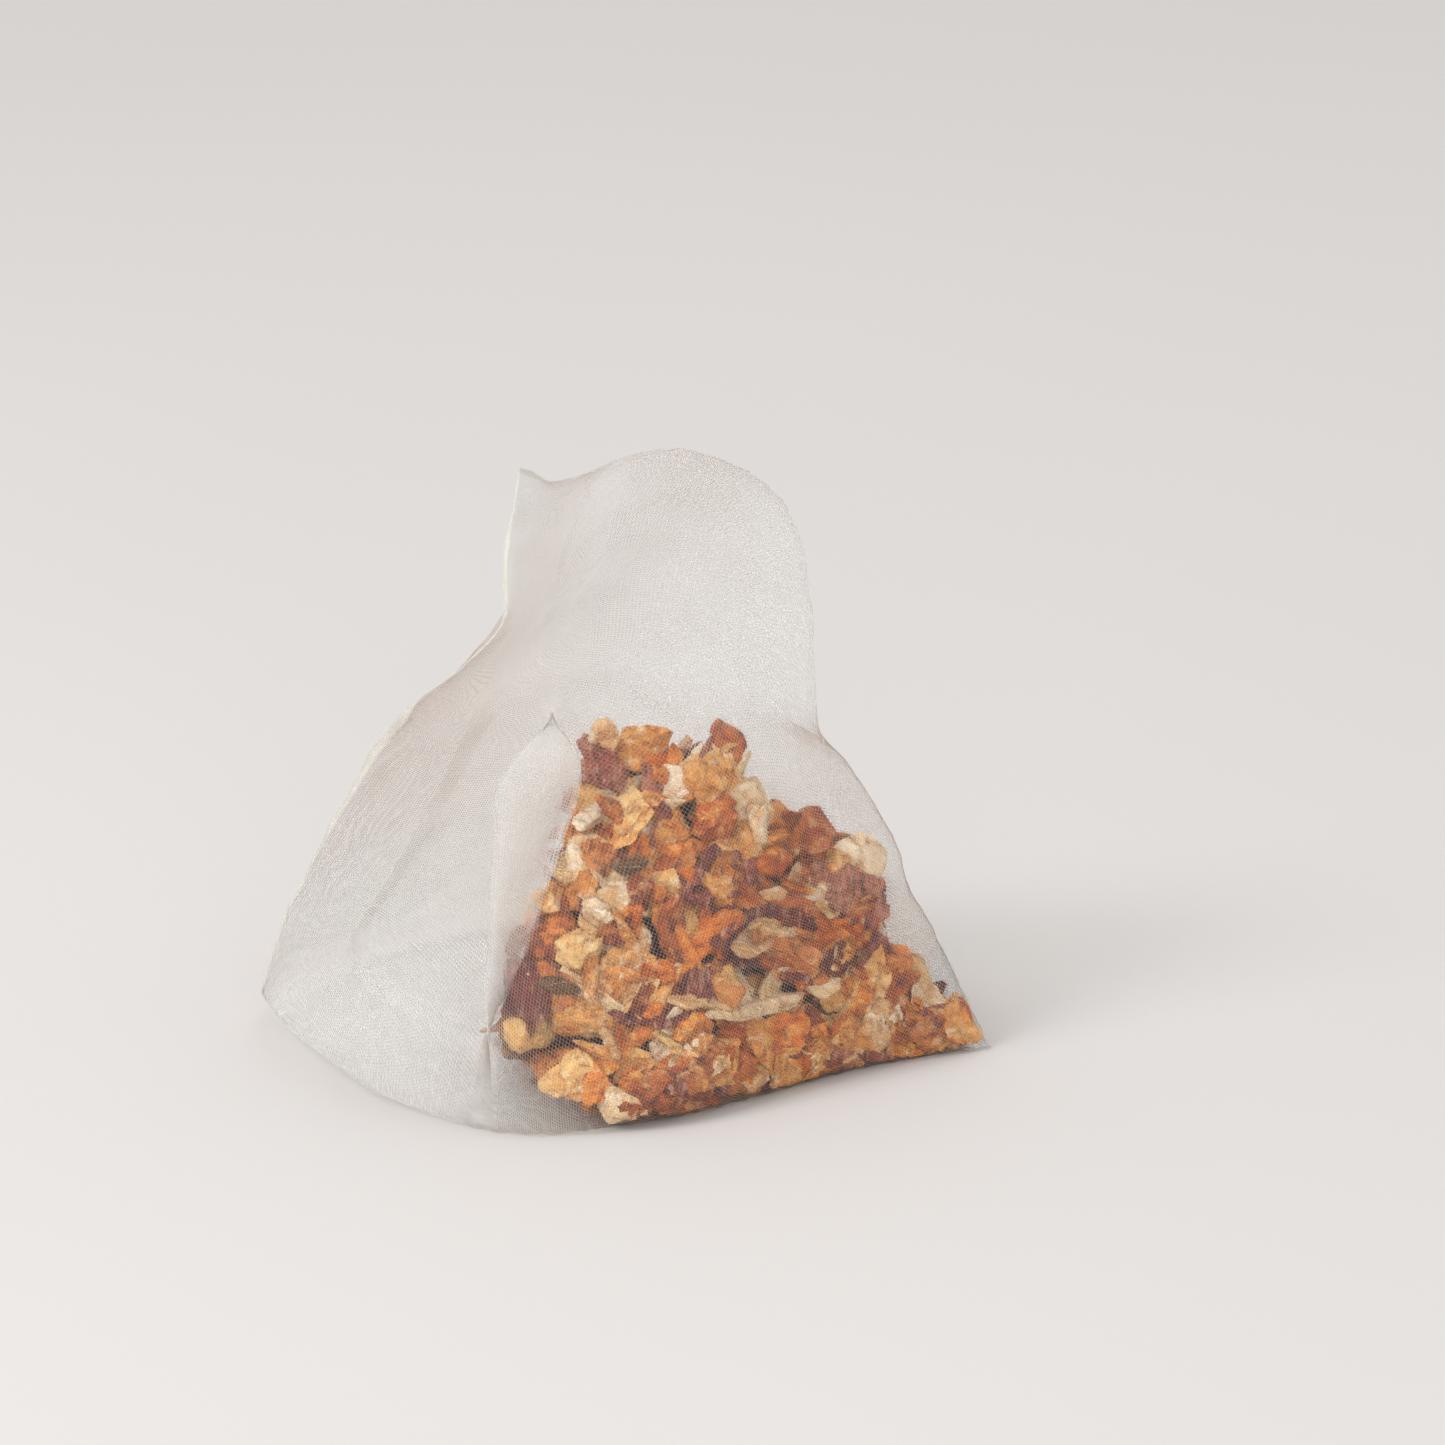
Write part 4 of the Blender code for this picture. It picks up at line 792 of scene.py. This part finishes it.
def weld(name, middle, out, from_ring, to_ring, start, material):
    """The flat ribbon where the cloth's two layers are melted together along a seam."""
    ring = np.repeat(np.linspace(from_ring, to_ring, WELD_STEPS)[:, None], STATIONS, axis=1)
    band = read_rings(middle, ring) + read_rings(out, ring) * WELD_LIFT
    points = band[:, (start + np.arange(STATIONS)) % STATIONS].reshape(-1, 3)
    faces = tube_faces(WELD_STEPS).reshape(-1, 4).tolist()
    for first in (0, (WELD_STEPS - 1) * STATIONS):
        for k in range(STATIONS // 2):
            corners = [k, k + 1, (STATIONS - k - 1) % STATIONS, (STATIONS - k) % STATIONS]
            corners = [first + corner for corner in dict.fromkeys(corners)]
            if len(corners) > 2:
                faces.append(corners)
    item = smooth_mesh(name, points, faces, material)
    mesh = bmesh.new()
    mesh.from_mesh(item.data)
    bmesh.ops.recalc_face_normals(mesh, faces=mesh.faces)
    mesh.to_mesh(item.data)
    mesh.free()
    return item


def stuff_of(name):
    """What a piece of fruit is made as, from its name."""
    for kind, facts in KINDS.items():
        if name.startswith(kind):
            return facts
    return HEAP_FACTS


def refined(node, rough, seed, cuts):
    """A merged and finely cut copy of a CAD node, its surface made uneven as dried fruit is."""
    mesh = bmesh.new()
    mesh.from_mesh(node.data)
    bmesh.ops.remove_doubles(mesh, verts=mesh.verts, dist=1e-6)
    bmesh.ops.subdivide_edges(mesh, edges=mesh.edges[:], cuts=cuts, use_grid_fill=True)
    bmesh.ops.smooth_vert(mesh, verts=mesh.verts[:], factor=0.5, use_axis_x=True,
                          use_axis_y=True, use_axis_z=True)
    mesh.normal_update()
    shift = Vector((seed * 3.1, seed * 1.7, seed * 0.9))
    grain = Vector((1.0 + (seed % 3) * 0.9, 1.0 + (seed % 2) * 1.2, 1.0 + (seed % 5) * 0.5))
    for vert in mesh.verts:
        p = vert.co * 1000.0 + shift
        fold = 1.0 - 2.0 * abs(noise.noise(Vector((p.x * grain.x, p.y * grain.y, p.z * grain.z)) * 0.5))
        fine = noise.noise(p * 1.9) * 0.55 + noise.noise(p * 4.3) * 0.35
        rise = 0.8 * noise.noise(p * 0.5) - 1.0 * max(fold - 0.35, 0.0) + fine
        vert.co += vert.normal * (SWELL + rise * rough) * MM
    bmesh.ops.triangulate(mesh, faces=mesh.faces)
    data = bpy.data.meshes.new(node.name + "_dressed")
    mesh.to_mesh(data)
    mesh.free()
    return data


PAST_LAYER = 1e-5         # in metres, the next layer of cloth is looked for from here
HIGH_ABOVE = Vector((0.02, 0.03, 0.20))


def layers_before(wall, eye, place):
    """How many layers of cloth lie between the viewer and a place."""
    ray = place - eye
    left = ray.length
    ray.normalize()
    count = 0
    hit, _, _, far = wall.ray_cast(eye, ray, left)
    while hit is not None:
        count += 1
        left -= far + PAST_LAYER
        if left <= 0.0:
            break
        hit, _, _, far = wall.ray_cast(hit + ray * PAST_LAYER, ray, left)
    return count


def is_inside(wall, eye, place):
    """True where both the viewer's line and one from above say that a place is in the bag."""
    above = place + HIGH_ABOVE
    return all(layers_before(wall, start, place) % 2 == 1 for start in (eye, above))


def keep_inside(points, wall, eye):
    """Points of one piece, squashed where they would pass the cloth, or None outside the bag."""
    middle = Vector(points.mean(axis=0))
    if not is_inside(wall, eye, middle):
        return None
    for k, point in enumerate(points):
        way = Vector(point) - middle
        reach = way.length
        hit, _, _, far = wall.ray_cast(middle, way.normalized(), reach + TEA_CLEAR * MM)
        if hit is not None:
            points[k] = middle + way * (max(far - TEA_CLEAR * MM, THINNEST * MM) / reach)
        elif not is_inside(wall, eye, Vector(point)):
            return None
    return points


def places(data):
    """A mesh's points as rows."""
    rows = np.empty(len(data.vertices) * 3)
    data.vertices.foreach_get("co", rows)
    return rows.reshape(-1, 3)


def crumb_shapes(seed):
    """Chopped chips that a crumb set repeats, a millimetre across: cut flat, then made uneven."""
    shapes = bpy.data.collections.new(f"crumb_shapes_{seed}")
    for k, (long, wide, thick, curl) in enumerate(CHIP_SHAPES):
        ball = bmesh.new()
        bmesh.ops.create_icosphere(ball, subdivisions=CHIP_ROUNDNESS, radius=0.5)
        for cut in range(CHIP_CUTS):
            place = Vector((cut * 3.7 + 0.4, seed * 1.9 + k * 2.3, 5.1))
            way = Vector([noise.noise(place + Vector((0.0, 0.0, 31.7 * axis)))
                          for axis in range(3)])
            way.normalize()
            reach = 0.5 * (0.42 + 0.5 * abs(noise.noise(place * 1.7)))
            for vert in ball.verts:
                vert.co -= way * max(vert.co.dot(way) - reach, 0.0)
        shift = Vector((seed + k * 5.3, k * 2.9, seed * 0.7))
        for vert in ball.verts:
            rough = 0.34 * noise.noise(vert.co * 2.3 + shift) + 0.22 * noise.noise(vert.co * 6.1 + shift)
            vert.co *= 1.25 + rough + 0.14 * noise.noise(vert.co * 14.0 + shift)
            bent = vert.co.z * thick + curl * (vert.co.x ** 2 + 0.5 * vert.co.x * vert.co.y)
            vert.co = Vector((vert.co.x * long, vert.co.y * wide, bent)) * MM
        data = bpy.data.meshes.new(f"crumb_{seed}_{k}")
        ball.to_mesh(data)
        ball.free()
        shapes.objects.link(bpy.data.objects.new(f"crumb_{seed}_{k}", data))
    return shapes


def scatter_tree(name, shapes, material):
    """Geometry nodes that strew chips over a surface."""
    tree = bpy.data.node_groups.new(name, "GeometryNodeTree")
    tree.interface.new_socket("Geometry", in_out="INPUT", socket_type="NodeSocketGeometry")
    for label, kind in (("Crumbs per square metre", "NodeSocketFloat"), ("Size", "NodeSocketFloat"),
                        ("Seed", "NodeSocketInt")):
        tree.interface.new_socket(label, in_out="INPUT", socket_type=kind)
    tree.interface.new_socket("Geometry", in_out="OUTPUT", socket_type="NodeSocketGeometry")
    new, link = tree.nodes.new, tree.links.new
    source = new("NodeGroupInput")
    strew = new("GeometryNodeDistributePointsOnFaces")
    link(source.outputs["Geometry"], strew.inputs["Mesh"])
    link(source.outputs["Crumbs per square metre"], strew.inputs["Density"])
    link(source.outputs["Seed"], strew.inputs["Seed"])
    chips = new("GeometryNodeCollectionInfo")
    chips.inputs["Collection"].default_value = shapes
    chips.inputs["Separate Children"].default_value = True
    chips.inputs["Reset Children"].default_value = True
    spin = new("FunctionNodeRandomValue")
    spin.data_type = "FLOAT_VECTOR"
    spin.inputs[0].default_value = (-CHIP_TILT, -CHIP_TILT, 0.0)
    spin.inputs[1].default_value = (CHIP_TILT, CHIP_TILT, math.tau)
    link(source.outputs["Seed"], spin.inputs["Seed"])
    turn = new("FunctionNodeRotateRotation")
    turn.rotation_space = "LOCAL"
    link(strew.outputs["Rotation"], turn.inputs[0])
    link(spin.outputs[0], turn.inputs[1])
    scale = new("FunctionNodeRandomValue")
    scale.inputs[2].default_value, scale.inputs[3].default_value = CHIP_SIZES
    link(source.outputs["Seed"], scale.inputs["Seed"])
    size = new("ShaderNodeMath")
    size.operation = "MULTIPLY"
    link(scale.outputs[1], size.inputs[0])
    link(source.outputs["Size"], size.inputs[1])
    place = new("GeometryNodeInstanceOnPoints")
    place.inputs["Pick Instance"].default_value = True
    link(strew.outputs["Points"], place.inputs["Points"])
    link(chips.outputs["Instances"], place.inputs["Instance"])
    link(turn.outputs["Rotation"], place.inputs["Rotation"])
    link(size.outputs[0], place.inputs["Scale"])
    tint = new("FunctionNodeRandomValue")
    keep = new("GeometryNodeStoreNamedAttribute")
    keep.data_type = "FLOAT"
    keep.domain = "INSTANCE"
    keep.inputs["Name"].default_value = "tint"
    link(place.outputs["Instances"], keep.inputs["Geometry"])
    link(tint.outputs[1], keep.inputs["Value"])
    real = new("GeometryNodeRealizeInstances")
    link(keep.outputs["Geometry"], real.inputs["Geometry"])
    paint = new("GeometryNodeSetMaterial")
    paint.inputs["Material"].default_value = material
    link(real.outputs["Geometry"], paint.inputs["Geometry"])
    link(paint.outputs["Geometry"], new("NodeGroupOutput").inputs["Geometry"])
    return tree


def strew_crumbs(name, ground, material, density, size, seed, wall, eye, offset):
    """Crumbs of one fruit all over the heap, as one plain mesh."""
    carrier = bpy.data.objects.new(name + "_carrier", ground)
    bpy.context.scene.collection.objects.link(carrier)
    shapes = crumb_shapes(seed)
    tree = scatter_tree(name + "_scatter", shapes, material)
    modifier = carrier.modifiers.new("scatter", "NODES")
    modifier.node_group = tree
    values = {"Crumbs per square metre": density * 1e6, "Size": size, "Seed": seed}
    for item in tree.interface.items_tree:
        if item.in_out == "INPUT" and item.name in values:
            modifier[item.identifier] = values[item.name]
    bpy.context.view_layer.update()
    graph = bpy.context.evaluated_depsgraph_get()
    data = bpy.data.meshes.new_from_object(carrier.evaluated_get(graph))
    bpy.data.objects.remove(carrier)
    rows = places(data)
    outside = []
    for first in range(0, len(rows), CHIP_POINTS):
        laid = keep_inside(rows[first:first + CHIP_POINTS], wall, eye)
        if laid is None:
            outside.extend(range(first, first + CHIP_POINTS))
    data.vertices.foreach_set("co", rows.ravel())
    mesh = bmesh.new()
    mesh.from_mesh(data)
    mesh.verts.ensure_lookup_table()
    bmesh.ops.delete(mesh, geom=[mesh.verts[k] for k in outside], context="VERTS")
    mesh.to_mesh(data)
    mesh.free()
    data.transform(Matrix.Translation(offset))
    data.name = name
    crumbs = bpy.data.objects.new(name, data)
    bpy.context.scene.collection.objects.link(crumbs)
    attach(crumbs, "root")


def set_tint(data, value):
    """One number for the whole piece, which its material reads as its shade."""
    tint = data.attributes.new("tint", "FLOAT", "POINT")
    tint.data.foreach_set("value", [value] * len(data.vertices))


def heap_far_side(offset, first):
    """The heap's slopes that face away from the viewer, numbered on from a first point."""
    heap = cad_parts["fruit_heap"]
    points = [heap.matrix_world @ vert.co - offset for vert in heap.data.vertices]
    turn = heap.matrix_world.to_3x3()
    faces = []
    for face in heap.data.polygons:
        way = turn @ face.normal
        if way.dot(Vector(SIGHT_AHEAD)) > 0.0 and way.z > UNDERSIDE:
            faces.append([first + k for k in face.vertices])
    return [list(p) for p in points], faces


def heap_tops(wall):
    """Where the heap's upper edge lies against the cloth, at each step across."""
    tops = {}
    for step in range(int(SCAN_SIDES[0] / SCAN), int(SCAN_SIDES[1] / SCAN)):
        across = step * SCAN
        line = [k * SCAN for k in range(int(SCAN_TOP / SCAN))
                if in_outline(across, k * SCAN, HEAP_OUTLINE)
                or in_outline(across, k * SCAN, PLEAT_OUTLINE)]
        if line:
            ray = SIGHT_AHEAD + (across - SIGHT_AIM[0]) / SIGHT_DISTANCE * SIGHT_RIGHT
            ray = ray + (line[-1] - SIGHT_AIM @ SIGHT_UP) / SIGHT_DISTANCE * SIGHT_UP
            hit = wall.ray_cast(Vector(EYE) * MM, Vector(ray).normalized())[0]
            if hit is not None:
                tops[step] = np.array(hit) / MM
    return tops


def heap_lining(middle, out, wall, offset):
    """Where crumbs lie: the cloth's inner side against the heap, and the heap's far slopes."""
    tops = heap_tops(wall)
    across, up, _ = sight(middle)
    faces = []
    for i, j in np.ndindex(RINGS, STATIONS):
        step = int(round(across[i, j] / SCAN))
        in_sight = in_outline(across[i, j] - CRUMB_REACH, up[i, j], HEAP_OUTLINE)
        tucked = i >= FULL_RING and in_outline(across[i, j], up[i, j], PLEAT_OUTLINE)
        facing = out[i, j] @ SIGHT_AHEAD < TURNED_AWAY
        if step not in tops or not (in_sight or tucked) or facing and i < FULL_RING + 2:
            continue
        top = tops[step]
        if middle[i, j, 2] > top[2] - (middle[i, j, 1] - top[1]) * math.tan(HEAP_SLOPE):
            continue
        here, below, n = i * STATIONS, (i + 1) * STATIONS, (j + 1) % STATIONS
        faces.append((here + j, below + j, below + n, here + n))
    data = bpy.data.meshes.new("heap_lining")
    full = smooth_step((middle[..., 2:] - EDGE_HEIGHT) / EDGE_RISE)
    depth = EDGE_DEPTH + (LINING_DEPTH - EDGE_DEPTH) * full
    points = ((middle - out * depth) * MM).reshape(-1, 3).tolist()
    far_points, far_faces = heap_far_side(offset, len(points))
    data.from_pydata(points + far_points, [], faces + far_faces)
    return data


def dress_fruit(middle, out, offset):
    """Every CAD piece of fruit as an uneven dried one, and crumbs over the heap."""
    materials = {name: fruit_material(name, *finish) for name, finish in FRUIT_FINISHES.items()}
    points = [Vector(p) * MM for p in middle.reshape(-1, 3)]
    sides = tube_faces(RINGS + 1).reshape(-1, 4).tolist()
    wall = BVHTree.FromPolygons(points, sides)
    eye = Vector(EYE) * MM
    lining = heap_lining(middle, out, wall, offset)
    for name, slot, density, size, seed in CRUMB_SETS:
        strew_crumbs(name, lining, materials[slot], density, size, seed, wall, eye, offset)
    bpy.data.meshes.remove(lining)
    moved = BVHTree.FromPolygons([p + offset for p in points], sides)
    nodes = [n for name, n in sorted(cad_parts.items()) if name != "mesh_bag"]
    for seed, node in enumerate(nodes, start=1):
        slot, rough, cuts = stuff_of(node.name)
        data = refined(node, rough, seed, cuts)
        rows = places(data)
        if node.name != "fruit_heap":
            keep_inside(rows, moved, eye + offset)
        data.vertices.foreach_set("co", rows.ravel())
        set_tint(data, (seed * GOLDEN) % 1.0)
        data.materials.clear()
        data.materials.append(materials[slot])
        data.polygons.foreach_set("use_smooth", np.ones(len(data.polygons), dtype=bool))
        piece = bpy.data.objects.new(node.name + "_fruit", data)
        bpy.context.scene.collection.objects.link(piece)
        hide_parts(node.name)
        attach(piece, "root")


def make_studio(offset):
    """Pale table, soft lights and the camera at the photograph's angle."""
    scene = bpy.context.scene
    scene.view_settings.view_transform = "Standard"
    aim = Vector(SIGHT_AIM) * MM + offset
    camera = bpy.data.objects.new("camera", bpy.data.cameras.new("camera"))
    scene.collection.objects.link(camera)
    camera.location = aim - Vector(SIGHT_AHEAD) * SIGHT_DISTANCE * MM
    camera.rotation_euler = (math.pi / 2 - SIGHT_TILT, 0.0, 0.0)
    camera.data.sensor_width = SENSOR_WIDTH
    camera.data.lens = SENSOR_WIDTH * SIGHT_DISTANCE / PICTURE_WIDTH
    camera.data.clip_start = 0.01
    scene.camera = camera

    floor = bmesh.new()
    bmesh.ops.create_grid(floor, x_segments=8, y_segments=8, size=TABLE_HALF)
    data = bpy.data.meshes.new("table_top")
    floor.to_mesh(data)
    floor.free()
    table = bpy.data.objects.new("table_top", data)
    scene.collection.objects.link(table)
    n = Nodes("table_paint", 0.85)
    n.color(n.ramp(n.noise(3.0, 2.0), [(0.3, linear(197, 194, 192)), (0.7, linear(200, 197, 195))]))
    n.shader.inputs["Specular IOR Level"].default_value = 0.2
    data.materials.append(n.material)

    world = bpy.data.worlds.new("studio")
    world.use_nodes = True
    sky = world.node_tree.nodes["Background"]
    sky.inputs["Color"].default_value = (1.0, 0.985, 0.97, 1.0)
    sky.inputs["Strength"].default_value = WORLD_STRENGTH
    scene.world = world
    for name, place, size, power in LIGHTS:
        lamp = bpy.data.lights.new(name, "AREA")
        lamp.shape = "RECTANGLE"
        lamp.size, lamp.size_y = size
        lamp.energy = power
        item = bpy.data.objects.new(name, lamp)
        item.location = place
        item.rotation_euler = (Vector((0, 0, 0.02)) - item.location).to_track_quat("-Z", "Y").to_euler()
        scene.collection.objects.link(item)


def row_offset():
    """From the loft's own origin to the row's, which is the middle of the bag's base."""
    outer = outer_face(cloth_grid())
    low, high = outer.min(axis=(0, 1)), outer.max(axis=(0, 1))
    return Vector((-(low[0] + high[0]) / 2, -(low[1] + high[1]) / 2, 0.0))


def main():
    """The fruit first, then the cloth round it, then the studio."""
    offset = row_offset()
    middle, out = cloth_surface()
    dress_fruit(middle, out, offset * MM)
    middle = middle + np.array(offset)
    skin = smooth_mesh("mesh_skin", middle.reshape(-1, 3),
                       tube_faces(RINGS + 1).reshape(-1, 4).tolist(), film_material())
    threads = weave(middle, out, thread_material())
    weld_paint = weld_material()
    upright = weld("upright_weld", middle, out, 0.0, WELD_RINGS, 0, weld_paint)
    lying = weld("lying_weld", middle, out, RINGS - WELD_RINGS, RINGS, STATIONS // 4, weld_paint)
    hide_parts("mesh_bag")
    cloth_pieces = [*threads, upright, lying]
    for piece in (skin, *cloth_pieces):
        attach(piece, "root")
    make_studio(offset * MM)


main()
